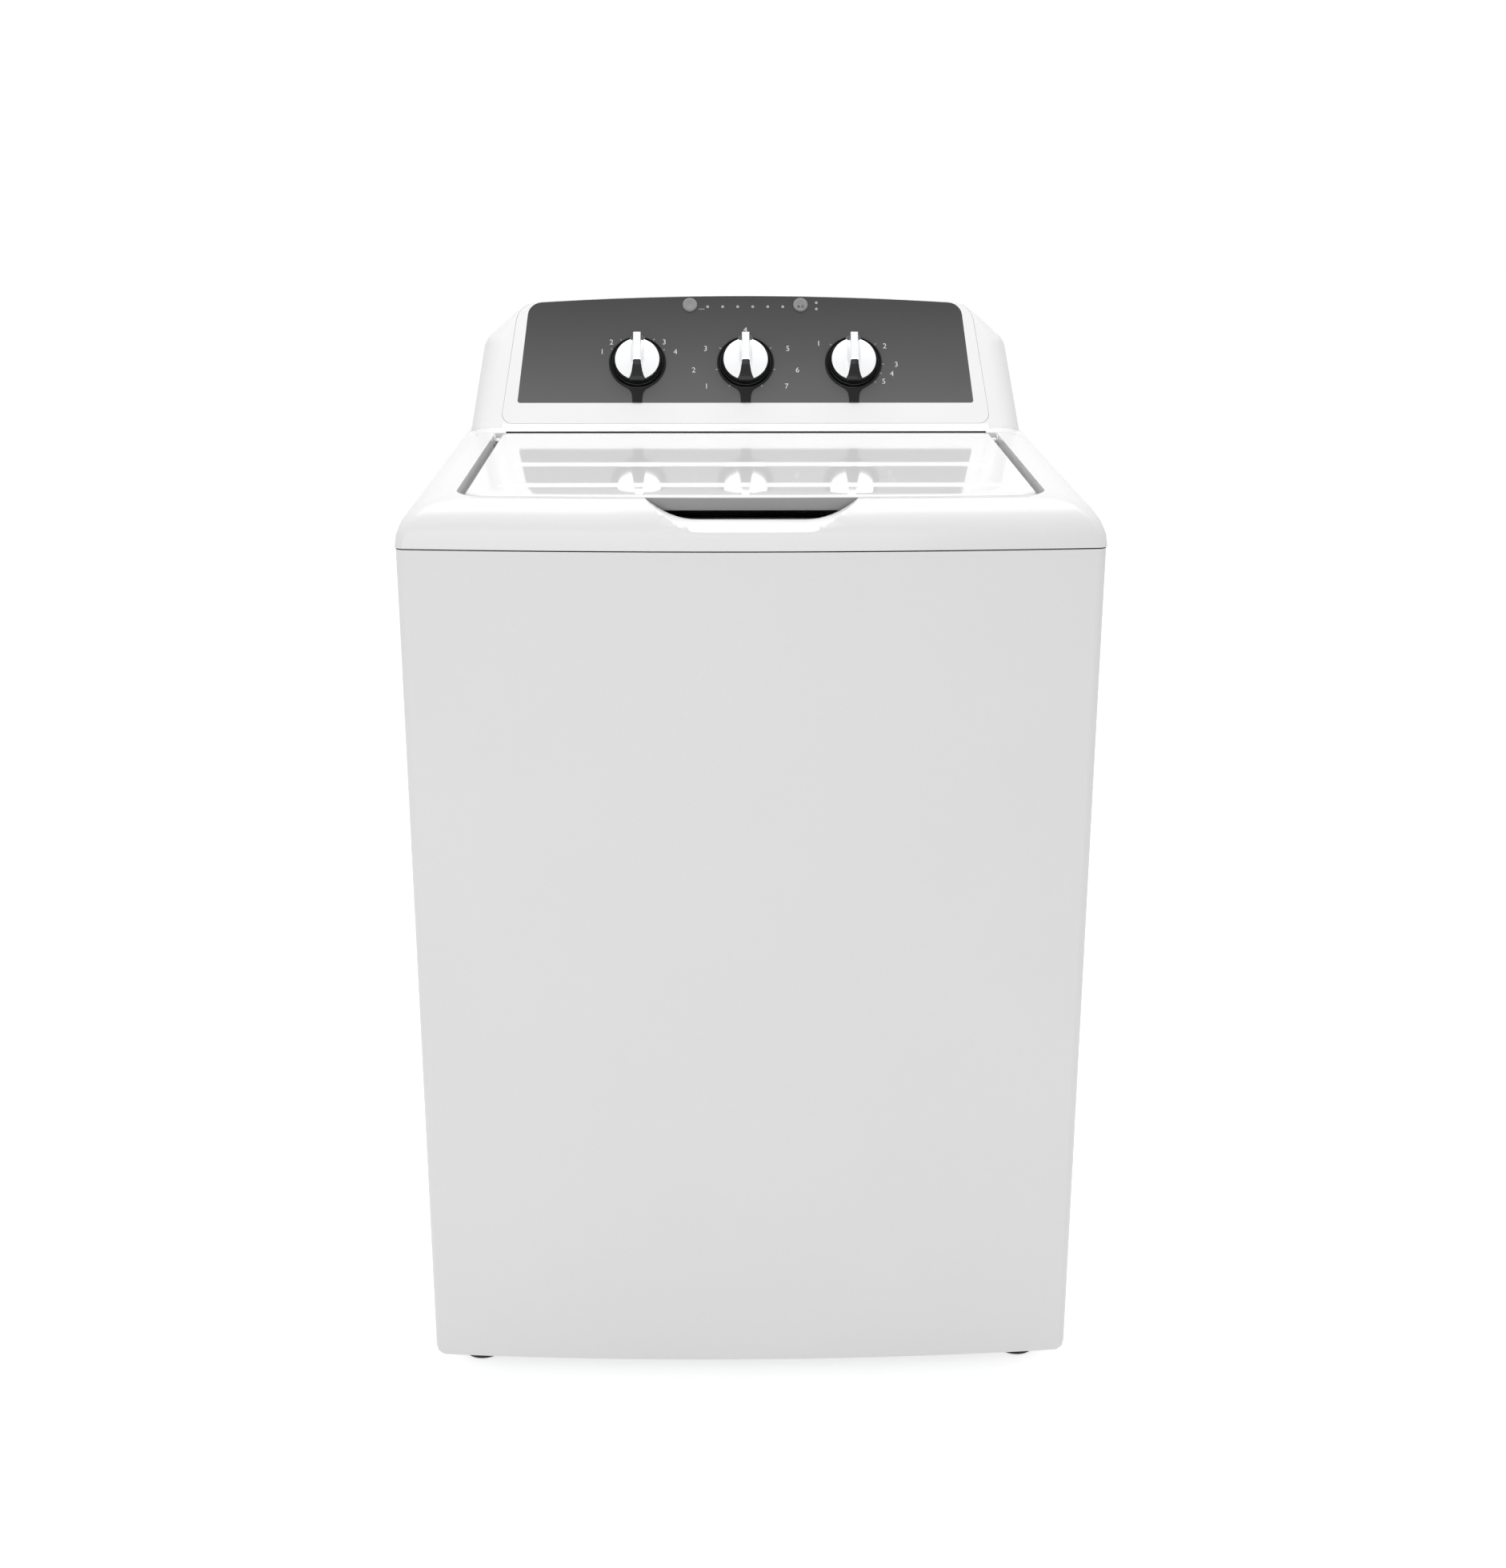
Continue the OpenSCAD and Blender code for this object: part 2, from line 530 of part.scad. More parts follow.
function fascia_outline(grow) = let (b = fascia_bottom - grow, w0 = half_w - 58 + grow, w1 = fascia_x + grow)
    rounded(concat([[-w0, b], [w0, b]],
        [for (i = [-8:8]) [-w1*i/8, fascia_top + grow - fascia_drop*pow(i/8, 2)]]),
        concat([12, 12, fascia_r], [for (i = [1:15]) 0], [fascia_r]));
overlay_x = half_w - 76.7;
overlay_outline = rounded(concat([[-overlay_x, 0.9], [overlay_x, 0.9]],
    [for (i = [-8:8]) [(11.8 - overlay_x)*i/8, overlay_top - 9*pow(i/8, 2)]]),
    concat([3, 3, 17], [for (i = [1:15]) 0], [17]));
module console_body() color("white") difference() {
    union() {
        console_hull(0);
        // shoulders that carry on the top cover's rolled edge
        intersection() {
            shoulder_solid();
            translate([-overall_w, seat_y + 1, cover_z - 5]) cube([2*overall_w, console_rear - seat_y - 1, 100]);
        }
        // cove between the shelf behind the lid and the leaning face
        translate([-half_w + 60, 0, 0]) rotate([90, 0, 90]) linear_extrude(2*(half_w - 60)) polygon(concat(
            [[seat_y + 1, deck_h - 3], [seat_y + 1.6, deck_h]],
            [for (i = [0:4]) let (t = i/4, q = cove_start*(1 - t)*(1 - t) + 2*cove_mid*t*(1 - t) + cove_end*t*t) q],
            [[200, deck_h]]));
    }
    intersection() {
        union() {
            console_hull(console_t);
            // hollow shoulders
            intersection() {
                loft(shoulder_loops(console_t, true));
                translate([-half_w, seat_y + 1 + console_t, cover_z - 10]) cube([overall_w, overall_d, 100]);
            }
            // hollow over the cover's seat
            translate([-seat_x - gap, seat_y + 1 + console_t, cover_z - 10])
                cube([2*(seat_x + gap), console_rear - console_t - seat_y - 1, seat_top - cover_z + 10]);
            // room behind the face, above the shelf
            translate([-seat_x, face_y + 10, seat_top - 1]) cube([2*seat_x, 140, 20]);
        }
        translate([-overall_w, 0, cover_z - 20]) cube([2*overall_w, console_rear - console_t, 400]);
    }
    // open underside
    translate([-seat_x - gap, seat_y - 1, cover_z - 20]) cube([2*(seat_x + gap), overall_d, 20 + seat_top - cover_z]);
    translate([-half_w, console_rear - 30, 0]) cube([2*half_w, 30, cover_z + 0.1]);
    // window for the fascia and opening for the rear cover
    on_face() translate([0, 0, -console_t - 12]) linear_extrude(40) polygon(fascia_outline(gap));
    translate([0, console_rear + 1, 0]) rotate([90, 0, 0]) linear_extrude(30) rear_outline(0);
}
cove_mid = [face_point(-face_rise/cos(face_tilt), 0).y, deck_h];
cove_start = cove_mid - [6, 0];
cove_end = cove_mid + 6*[sin(face_tilt), cos(face_tilt)];
module rear_outline(inset) {
    polygon(rounded([[-seat_x + 9 + inset, deck_h + 4 + inset], [seat_x - 9 - inset, deck_h + 4 + inset],
        [half_w - 73 - inset, overall_h - 50 - inset], [half_w - 113 - inset, overall_h - 30 - inset],
        [-half_w + 113 + inset, overall_h - 30 - inset], [-half_w + 73 + inset, overall_h - 50 - inset]],
        [8, 8, 12, 12, 12, 12]));
}
module console_rear_cover() color("gainsboro") difference() {
    union() {
        translate([0, console_rear - 0.5, 0]) rotate([90, 0, 0]) linear_extrude(panel_t) rear_outline(gap);
        // flange inside the opening
        translate([0, console_rear - 1, 0]) rotate([90, 0, 0]) linear_extrude(12) difference() {
            rear_outline(gap);
            rear_outline(gap + panel_t);
        }
    }
    for (x = [-4:4]) translate([x*30 - 10, console_rear - 20, overall_h - 66]) cube([20, 30, 4]);
    screw_holes(cover_screws(), console_rear);
}
knob_x = [-dial_pitch, 0, dial_pitch];
knob_s = 51.5;
button_x = 65.5;
button_s = overlay_top - 11.5;
fascia_t = 2.5;
lamp_r = 1.7;
lamp_pitch = 17.8;
lamps = concat([for (k = [-2.5:2.5]) [k*lamp_pitch, button_s - 2.2]], [for (ds = [3, -5]) [button_x + 18.8, button_s + ds]]);
stem_r = 6;
board_h = 18;
board_x = half_w - 130;
board_s = 8;
board_l = overlay_top - 18.5;
board_posts = [for (sx = [-1, 1]) each [[sx*(board_x - 25), board_s + 12],
    [sx*(board_x - 25), board_s + board_l - 14], [sx*dial_pitch/2, board_s + 12]]];
module controls_through(r_grow) {
    for (x = knob_x) translate([x, knob_s, -30]) cylinder(r = stem_r + 1.5, h = 60);
    for (sx = [-1, 1]) translate([sx*button_x, button_s, -30]) cylinder(r = button_r + gap, h = 60);
    for (p = lamps) translate([p.x, p.y, -30]) cylinder(r = lamp_r + r_grow, h = 60);
}
module console_fascia() color("white") on_face() difference() {
    union() {
        translate([0, 0, -fascia_t - overlay_t]) linear_extrude(fascia_t + overlay_t) polygon(fascia_outline(0));
        // posts that carry the control board
        for (p = board_posts) translate([p.x, p.y, -board_h]) cylinder(r = 4, h = board_h - 1);
    }
    translate([0, 0, -overlay_t]) linear_extrude(5) polygon(overlay_outline);
    controls_through(0);
}
module control_overlay() color("dimgray") on_face() difference() {
    translate([0, 0, -overlay_t]) linear_extrude(overlay_t) polygon(overlay_outline);
    controls_through(0);
}
// Bezel ring with a waisted stem that runs down to the overlay's lower edge
module dial_bezels() color("black") on_face() for (x = knob_x) translate([x, knob_s, 0]) difference() {
    union() {
        rotate_extrude($fn = 72) polygon([[stem_r + 1.5, 0], [bezel_r, 0], [bezel_r, 1.4], [bezel_r - 1.2, 2.4],
            [bezel_r - 2, 2.4], [bezel_r - 3, 0.8], [stem_r + 1.5, 0.8]]);
        linear_extrude(1.4) difference() {
            translate([-16, -knob_s + 1.2]) square([32, knob_s - 28]);
            for (sx = [-1, 1]) translate([sx*(6.4 + 20), -knob_s + 1.2]) scale_stem();
        }
    }
    linear_extrude(8) circle(r = stem_r + 1.5);
}
module scale_stem() { polygon(concat([[-20, -2], [20, -2], [20, 26]], arc([0, 0], 20, 60, 180, 8))); }
module indicator_lenses() color("lightgray") on_face() for (p = lamps)
    translate([p.x, p.y, -fascia_t - overlay_t]) cylinder(r = lamp_r, h = fascia_t + overlay_t + 0.2);
module control_board() color("darkgreen") on_face() translate([0, 0, -board_h]) difference() {
    union() {
        translate([-board_x, board_s, -1.6]) cube([2*board_x, board_l, 1.6]);
        for (x = knob_x) translate([x, knob_s, 0]) cylinder(r = 9, h = 9);
        for (sx = [-1, 1]) translate([sx*button_x - 4, button_s - 8, 0]) cube([8, 8, 3.5]);
        for (p = [[-board_x + 65, 52], [board_x - 65, 52], [-60, 72]])
            translate([p.x, board_s + p.y, -15]) cylinder(r = 7, h = 14);
        translate([board_x - 45, board_s + board_l - 46, -24]) cube([34, 30, 23]);
    }
    for (x = knob_x) translate([x, knob_s, -10]) cylinder(r = 3 + run, h = 30);
}
// Knob: black skirt, silver cap with a raised pointer bar, black grip flaring down to the rim
cap_h = 15.5;
module knob(x) on_face() translate([x, knob_s, 0]) {
    color("black") rotate_extrude($fn = 72) polygon([[0, 3], [knob_r - 1, 3], [knob_r, 4.5], [knob_r - 0.6, 8],
        [cap_r + 1, 10.5], [0, 10.5]]);
    color("silver") rotate_extrude($fn = 72) polygon([[0, 10], [cap_r, 10], [cap_r, 12], [cap_r - 0.8, cap_h - 1.6],
        [cap_r - 3, cap_h], [0, cap_h]]);
    // the bar's flanks are hollow
    color("silver") translate([0, cap_r + 1, 0]) rotate([90, 0, 0]) linear_extrude(cap_r + 7) polygon([
        [-grip_w/2 - 4.5, cap_h - 2], [-grip_w/2 - 2.4, cap_h + 1.4], [-grip_w/2 - 0.9, cap_h + 4.6],
        [-grip_w/2, knob_h - 0.6], [-grip_w/2 + 0.6, knob_h], [grip_w/2 - 0.6, knob_h], [grip_w/2, knob_h - 0.6],
        [grip_w/2 + 0.9, cap_h + 4.6], [grip_w/2 + 2.4, cap_h + 1.4], [grip_w/2 + 4.5, cap_h - 2]]);
    color("black") rotate([90, 0, 0]) loft([for (p = [[5.5, grip_w/2, knob_h - 0.6], [12, 5.4, knob_h - 3],
        [18, 7.2, knob_h - 7.5], [24, 10.6, cap_h + 0.4], [cap_r - 0.2, 6.5, cap_h - 1.5]])
        [p.x, [[-p.y - 0.8, 10], [p.y + 0.8, 10], [p.y, p.z], [-p.y, p.z]]]]);
    color("black") translate([0, 0, -6]) cylinder(r = stem_r, h = 10);
    color("silver") translate([0, 0, -board_h - 4]) cylinder(r = 3, h = board_h);
}
module water_level_knob() knob(knob_x[0]);
module cycle_knob() knob(knob_x[1]);
module temperature_knob() knob(knob_x[2]);
module button(x) color("silver") on_face() translate([x, button_s, 0]) {
    rotate_extrude($fn = 64) polygon([[0, -fascia_t - overlay_t - 2.5], [button_r + 2, -fascia_t - overlay_t - 2.5],
        [button_r + 2, -fascia_t - overlay_t - gap], [button_r, -fascia_t - overlay_t - gap], [button_r, 1.2],
        [button_r - 0.8, 2], [button_r - 2.5, 2.2], [0, 1.7]]);
    translate([-2, -5, -board_h + 3.5 + button_travel + gap])
        cube([4, 4, board_h - fascia_t - overlay_t - 5 - button_travel]);
}
module option_button() button(-button_x);
module start_button() button(button_x);

// ---- water and power at the back ----
spigot_foot = 1;
valve_d = 34;
valve_out = 24;
module inlet_valve() color("lightgreen") {
    y0 = rear_y - panel_t - gap;
    difference() {
        union() {
            for (sx = [-1, 1]) translate([valve_x + sx*spigot_pitch/2, y0, valve_z]) rotate([-90, 0, 0]) {
                translate([0, 0, spigot_foot]) cylinder(r = spigot_r, h = overall_d/2 - y0 - spigot_foot);
                translate([0, 0, -30]) cylinder(r = spigot_r - 0.5, h = 30 + spigot_foot + 1);
                translate([0, 0, -30]) cylinder(r = 17, h = 20);
                translate([0, 0, -52]) cylinder(r = 14, h = 24);
            }
            translate([valve_x - 50, y0 - 50, valve_z - 12]) cube([100, 34, 24]);
            translate([valve_x - 60, y0 - panel_t - 2 - gap, valve_z - 22]) cube([120, 2, 44]);
            translate([valve_x, y0 - valve_d, valve_z]) cylinder(r = 10, h = valve_out);
        }
        for (sx = [-1, 1]) translate([valve_x + sx*spigot_pitch/2, y0 - 10, valve_z]) rotate([-90, 0, 0])
            cylinder(r = 10, h = 80);
        translate([valve_x, y0 - valve_d, valve_z]) cylinder(r = 6, h = valve_out + 1);
    }
}
// Rises from the valve, passes over the tub's ring and turns down inside its rim
module fill_spout() color("gray") {
    y0 = rear_y - panel_t - gap - valve_d;
    z0 = valve_z + valve_out + gap;
    y1 = drum_y + ring_in - 22;
    sweep(concat([[valve_x, y0, z0]], bezier([valve_x, y0, z0 + 4], [valve_x, y0, z0 + 26],
        [valve_x - 10, y0 - 20, z0 + 28], [valve_x - 25, (y0 + y1)/2, z0 + 28], 6),
        bezier([valve_x - 32, (y0 + y1)/2 - 12, z0 + 28], [valve_x - 45, y1 + 14, z0 + 27],
        [valve_x - 50, y1, z0 + 20], [valve_x - 50, y1, z0 + 2], 6)), 9, 12);
}
module cord_inlet() color("black") translate([cord_x, rear_y - panel_t - gap, cord_z]) rotate([-90, 0, 0])
    difference() {
        union() {
            translate([0, 0, -6]) cylinder(r = 8.8, h = 10);
            translate([0, 0, 0.2]) cylinder(r = 12, h = 4);
            translate([0, 0, -6]) cylinder(r = 11, h = 3);
        }
        translate([0, 0, -10]) cylinder(r = 4.5, h = 20);
    }
module drain_port() color("black") translate([port_x, rear_y - panel_t - gap, port_z]) rotate([-90, 0, 0])
    difference() {
        union() {
            translate([0, 0, 4]) cylinder(r = port_r, h = spigot_l + panel_t + gap - 4);
            translate([0, 0, -40]) cylinder(r = port_r - 0.5, h = 44.1);
            translate([0, 0, 0.2]) cylinder(r = port_r + 8, h = 4);
            translate([0, 0, -5]) cylinder(r = port_r + 8, h = 3);
        }
        translate([0, 0, -50]) cylinder(r = port_r - 2.5, h = 100);
    }
pump_x = -150;
pump_y = drum_y - 60;
pump_z = 150;
module drain_hose() color("dimgray") {
    y0 = pump_y + 62 + gap;
    y1 = rear_y - panel_t - gap - 40 - gap;
    sweep(concat([[pump_x, y0, pump_z + 12]],
        bezier([pump_x, y0 + 8, pump_z + 12], [pump_x, y0 + 190, pump_z + 12],
            [port_x, y1 - 14, pump_z + 60], [port_x, y1 - 14, pump_z + 170], 8),
        bezier([port_x, y1 - 14, port_z - 430], [port_x, y1 - 14, port_z - 120],
            [port_x, y1 - 70, port_z], [port_x, y1 - 8, port_z], 10), [[port_x, y1, port_z]]), 13, 10);
}

// ---- legs ----
module leg(x, y) translate([x, y, 0]) {
    color("black") rotate_extrude() polygon([[0, 0], [foot_r - 3, 0], [foot_r, 3], [foot_r - 2, 10], [14, 14], [0, 14]]);
    color("silver") union() {
        translate([0, 0, 14]) cylinder(r = 11, h = 6, $fn = 6);
        translate([0, 0, 14]) cylinder(r = stud_r, h = leg_h + base_h - 14);
    }
}
module front_left_leg() leg(-leg_x, front_leg_y);
module front_right_leg() leg(leg_x, front_leg_y);
module rear_left_leg() leg(-leg_x, rear_leg_y);
module rear_right_leg() leg(leg_x, rear_leg_y);
module leg_locknuts() color("silver") each_corner(leg_x, front_leg_y, rear_leg_y) translate([0, 0, base_z - 8])
    difference() {
        cylinder(r = 9.8, h = 8, $fn = 6);
        translate([0, 0, -1]) cylinder(r = stud_r + run, h = 10);
    }

// ---- suspension ----
rod_bottom = tub_z - 20;
ear_z = tub_z + 92;
module suspension_rods() color("silver") each_corner(rod_xy, rod_front_y, rod_rear_y) {
    translate([0, 0, rod_bottom]) cylinder(r = rod_r, h = bracket_z + 6 - rod_bottom);
    translate([0, 0, rod_bottom - 4]) cylinder(r = 12, h = 4);
    // ball seat on the bracket
    translate([0, 0, bracket_z + 3]) rotate_extrude() polygon([[0, 0], [10, 0], [9, 4], [5, 8], [0, 9]]);
}
cup_floor = ear_z - 12;
module suspension_cups() color("whitesmoke") each_corner(rod_xy, rod_front_y, rod_rear_y) difference() {
    union() {
        translate([0, 0, cup_floor]) cylinder(r = 19, h = 12 - gap);
        translate([0, 0, cup_floor - 40]) cylinder(r1 = 17, r2 = 19, h = 40);
    }
    translate([0, 0, cup_floor - 41]) cylinder(r = 15.5, h = 41);
    cylinder(r = rod_r + run, h = deck_h);
}
module suspension_springs() color("silver") each_corner(rod_xy, rod_front_y, rod_rear_y) {
    turns = 7;
    z0 = rod_bottom + 2;
    rise = cup_floor - 2 - z0;
    sweep([for (i = [0:turns*8]) [10*cos(45*i), 10*sin(45*i), z0 + rise*i/(turns*8)]], 1.6, 4);
}

// ---- outer tub and drive ----
module outer_tub() color("lightgray") at_drum() difference() {
    union() {
        rotate_extrude($fn = 96) polygon([[44, tub_z], [80, tub_z], [tub_r - 40, tub_z + 14],
            [tub_r - 12, tub_z + 22], [tub_r, tub_z + 46], [tub_r, tub_top], [tub_r - tub_t, tub_top],
            [tub_r - tub_t, tub_z + 47], [tub_r - 14, tub_z + 25.5], [tub_r - 41, tub_z + 17.5],
            [80, tub_z + 4], [60, tub_z + 10], [60, tub_z + 30], [44, tub_z + 30]]);
        // hoops round the wall
        for (z = [tub_z + 180, tub_z + 330, tub_z + 480]) ring(tub_r + 4, tub_r - 1, z, z + 4);
        ring(rim_r, tub_r - 1, tub_top - 5, tub_top);
        // ears that ride on the suspension cups
        for (a = [45:90:315]) rotate(a) difference() {
            translate([tub_r - 8, 0, ear_z]) linear_extrude(8) polygon([[0, -52], [0, 52],
                [rod_reach + 18 - tub_r + 8, 22], [rod_reach + 18 - tub_r + 8, -22]]);
            cylinder(r = tub_r - 1, h = deck_h);
        }
        for (a = [45:90:315], s = [-1, 1]) rotate(a) translate([tub_r - 2, s*27 - 1.5, ear_z - 50])
            cube([rod_reach - tub_r - 4, 3, 50]);
        // bosses that carry the motor and the pump
        for (p = concat(motor_feet, pump_feet)) translate([p.x, p.y, boss_z])
            cylinder(r = 9, h = floor_z(norm(p)) + 1.5 - boss_z);
        // radial ribs under the floor
        for (a = [0:30:330]) rotate(a) translate([88, -1.5, tub_z - 6]) cube([tub_r - 140, 3, 10]);
    }
    for (a = [45:90:315]) rotate(a) translate([rod_reach, 0, ear_z - 60]) cylinder(r = rod_r + 1, h = 90);
    translate([pump_x, pump_y - drum_y, tub_z - 20]) cylinder(r = 15, h = 60);
}
rod_reach = rod_xy*sqrt(2);
boss_z = tub_z - 2;
function floor_z(r) = tub_z + 14*(r - 80)/(tub_r - 120);
motor_feet = [for (a = [45:90:315]) [belt_span, 0] + 50*[cos(a), sin(a)]];
pump_feet = [for (a = [30, 150, 270]) [pump_x, pump_y - drum_y] + 36*[cos(a), sin(a)]];
ring_in = 236;
rim_r = tub_r + 7;
module tub_ring() color("whitesmoke") at_drum() rotate_extrude($fn = 96) polygon([[ring_in, tub_top + 12],
    [ring_in + 3, tub_top + 9], [ring_in + 6, tub_top + 14], [tub_r - tub_t - 1, tub_top + 14],
    [tub_r - tub_t - 1, tub_top + gap], [rim_r + gap, tub_top + gap], [rim_r + gap, tub_top - 8],
    [rim_r + gap + 3, tub_top - 8], [rim_r + gap + 3, tub_top + 13], [tub_r + 2, tub_top + 18],
    [ring_in + 4, tub_top + 18], [ring_in, tub_top + 15]]);
hub_z = tub_z + 30;
shaft_r = 9;
tube_r = 16;
gear_z = tub_z - 96;
module gearcase() color("silver") at_drum() difference() {
    union() {
        translate([0, 0, gear_z]) cylinder(r = 74, h = 60);
        translate([0, 0, gear_z + 60]) cylinder(r1 = 74, r2 = 44, h = 24);
        translate([0, 0, tub_z - 6]) cylinder(r = 84, h = 6);
        for (a = [0:60:300]) rotate(a) translate([40, -2, gear_z + 50]) cube([44, 4, tub_z - gear_z - 51]);
        translate([0, 0, gear_z + 80]) cylinder(r = 43.7, h = hub_z - gear_z - 80);
    }
    translate([0, 0, gear_z + 40]) cylinder(r = 26, h = 200);
    translate([0, 0, gear_z - 20]) cylinder(r = tube_r + 1, h = 200);
}
module spin_bearings() color("silver") at_drum() for (z = [gear_z + 44, hub_z - 16])
    translate([0, 0, z]) rotate_extrude() polygon([[tube_r + run, 0], [26, 0], [26, 14], [tube_r + run, 14]]);
module tub_seal() color("black") at_drum() rotate_extrude() polygon([[tube_r + gap, hub_z], [40, hub_z],
    [40, hub_z + 3], [26, hub_z + 3], [22, hub_z + 12], [tube_r + gap, hub_z + 14]]);
module spin_tube() color("silver") at_drum() difference() {
    translate([0, 0, gear_z + 10]) cylinder(r = tube_r, h = hub_top - gear_z - 10);
    translate([0, 0, gear_z]) cylinder(r = shaft_r + run, h = 400);
}
hub_top = hub_z + 62;
belt_z = gear_z - 50;
belt_w = 12;
motor_x = belt_span;
motor_shaft_r = 6;
motor_shaft_l = 92;
module drive_motor() color("dimgray") translate([motor_x, drum_y, 0]) difference() {
    union() {
        translate([0, 0, belt_z + 26]) cylinder(r = 62, h = 92);
        translate([0, 0, belt_z + 22]) cylinder(r = 30, h = 100);
        for (z = [belt_z + 40, belt_z + 96]) translate([0, 0, z]) cylinder(r = 66, h = 8);
        // arms up to the tub's floor
        for (a = [45:90:315]) rotate(a) translate([50, 0, belt_z + 100]) cylinder(r = 6, h = boss_z - belt_z - 100);
    }
    translate([0, 0, belt_z]) cylinder(r = motor_shaft_r + run, h = motor_shaft_l);
}
module pulley(r, bore) difference() {
    rotate_extrude($fn = 72) polygon([[bore, 0], [r + 3, 0], [r + 3, 2], [r, 3.5], [r, belt_w + 4.5], [r + 3, belt_w + 6],
        [r + 3, belt_w + 8], [bore, belt_w + 8]]);
    children();
}
module drive_pulley() color("silver") translate([0, drum_y, belt_z - 4]) {
    pulley(drive_pulley_d/2, shaft_r + run) for (a = [0:72:288]) rotate(a) translate([0, 0, -1])
        linear_extrude(40) polygon(rounded([[24, -6], [drive_pulley_d/2 - 9, -32], [drive_pulley_d/2 - 9, 32], [24, 6]],
            [5, 14, 14, 5]));
}
module motor_pulley() color("silver") translate([motor_x, drum_y, belt_z - 4]) {
    pulley(motor_pulley_d/2, 5) { }
    cylinder(r = motor_shaft_r, h = motor_shaft_l);
}
// Belt round both pulleys: two arcs joined by the tangents
function belt_outline(grow) = let (r0 = drive_pulley_d/2 + grow, r1 = motor_pulley_d/2 + grow,
    a = acos((r0 - r1)/belt_span))
    concat(arc([0, 0], r0, a, 360 - a, 24), arc([belt_span, 0], r1, -a, a, 12));
module drive_belt() color("black") translate([0, drum_y, belt_z]) linear_extrude(belt_w) difference() {
    polygon(belt_outline(gap + 4));
    polygon(belt_outline(gap));
}
module drain_pump() color("white") translate([pump_x, pump_y, 0]) {
    difference() {
        union() {
            translate([0, 0, pump_z]) cylinder(r = 42, h = 30);
            translate([0, 0, pump_z + 29]) cylinder(r = 14.7, h = tub_z + 8 - pump_z - 29);
            translate([0, 0, pump_z + 12]) rotate([-90, 0, 0]) cylinder(r = 13, h = 62);
            translate([0, 0, pump_z - 44]) cylinder(r = 30, h = 45);
            for (a = [30, 150, 270]) rotate(a) translate([36, 0, pump_z + 24]) cylinder(r = 4, h = boss_z - pump_z - 24);
        }
        translate([0, 0, pump_z + 3]) cylinder(r = 36, h = 22);
        translate([0, 0, pump_z + 20]) cylinder(r = 12, h = 200);
        translate([0, 20, pump_z + 12]) rotate([-90, 0, 0]) cylinder(r = 9, h = 62);
        translate([0, 0, pump_z - 20]) cylinder(r = 4 + run, h = 40);
    }
}
module pump_impeller() color("gray") translate([pump_x, pump_y, 0]) {
    translate([0, 0, pump_z - 16]) cylinder(r = 4, h = 30);
    translate([0, 0, pump_z + 5]) cylinder(r = 30, h = 2.5);
    for (a = [0:60:300]) rotate(a) translate([6, -1, pump_z + 7]) cube([23, 2, 14]);
    translate([0, 0, pump_z + 5]) cylinder(r = 8, h = 16);
}

// ---- basket and agitator ----
basket_z = tub_z + 46;
basket_top = basket_z + basket_h;
module basket() color("silver") at_drum() difference() {
    rotate_extrude($fn = 96) polygon([[basket_r - basket_t, basket_z + 38], [basket_r, basket_z + 38],
        [basket_r, basket_top], [basket_r - basket_t, basket_top]]);
    for (i = [0:hole_columns - 1], k = [0:5]) rotate(360*i/hole_columns) translate([basket_r - 10, 0, basket_z + 80 + 70*k])
        rotate([0, 90, 0]) cylinder(r = 3, h = 20);
}
// Pressed floor, its rim crimped inside the wall
module basket_base() color("silver") at_drum() let (r = basket_r - basket_t - gap) rotate_extrude($fn = 96)
    polygon([[70, basket_z + 8], [r - 40, basket_z + 8], [r - 14, basket_z + 14], [r, basket_z + 40],
        [r, basket_z + 56], [r - basket_t, basket_z + 56], [r - basket_t, basket_z + 41],
        [r - 15, basket_z + 15.2], [r - 40, basket_z + 9.2], [70, basket_z + 9.2]]);
module balance_ring() color("whitesmoke") at_drum() rotate_extrude($fn = 96) polygon([[basket_r - 26, basket_top - 6],
    [basket_r - basket_t - gap, basket_top - 20], [basket_r - basket_t - gap, basket_top],
    [basket_r + 3, basket_top + 2], [basket_r + 3, basket_top + 26], [basket_r - 4, basket_top + 34],
    [basket_r - 20, basket_top + 34], [basket_r - 28, basket_top + 26]]);
module basket_hub() color("gray") at_drum() difference() {
    union() {
        translate([0, 0, hub_z + 15]) cylinder(r = 34, h = hub_top - hub_z - 21);
        translate([0, 0, basket_z + 9.2 - 9]) cylinder(r = 69.5, h = 9);
        for (a = [0:60:300]) rotate(a) translate([30, -3, basket_z + 0.2]) cube([150, 6, 7.6]);
    }
    translate([0, 0, hub_z]) cylinder(r = tube_r, h = 100);
}
module drive_shaft() color("silver") at_drum() {
    translate([0, 0, belt_z - 8]) cylinder(r = shaft_r, h = hub_top + 60 - belt_z + 8);
    translate([0, 0, belt_z - 14]) cylinder(r = 14, h = 9.8, $fn = 6);
}
agitator_z = basket_z + 14;
agitator_top = agitator_z + agitator_h;
post_r = 52;
post_bore = post_r - 9;
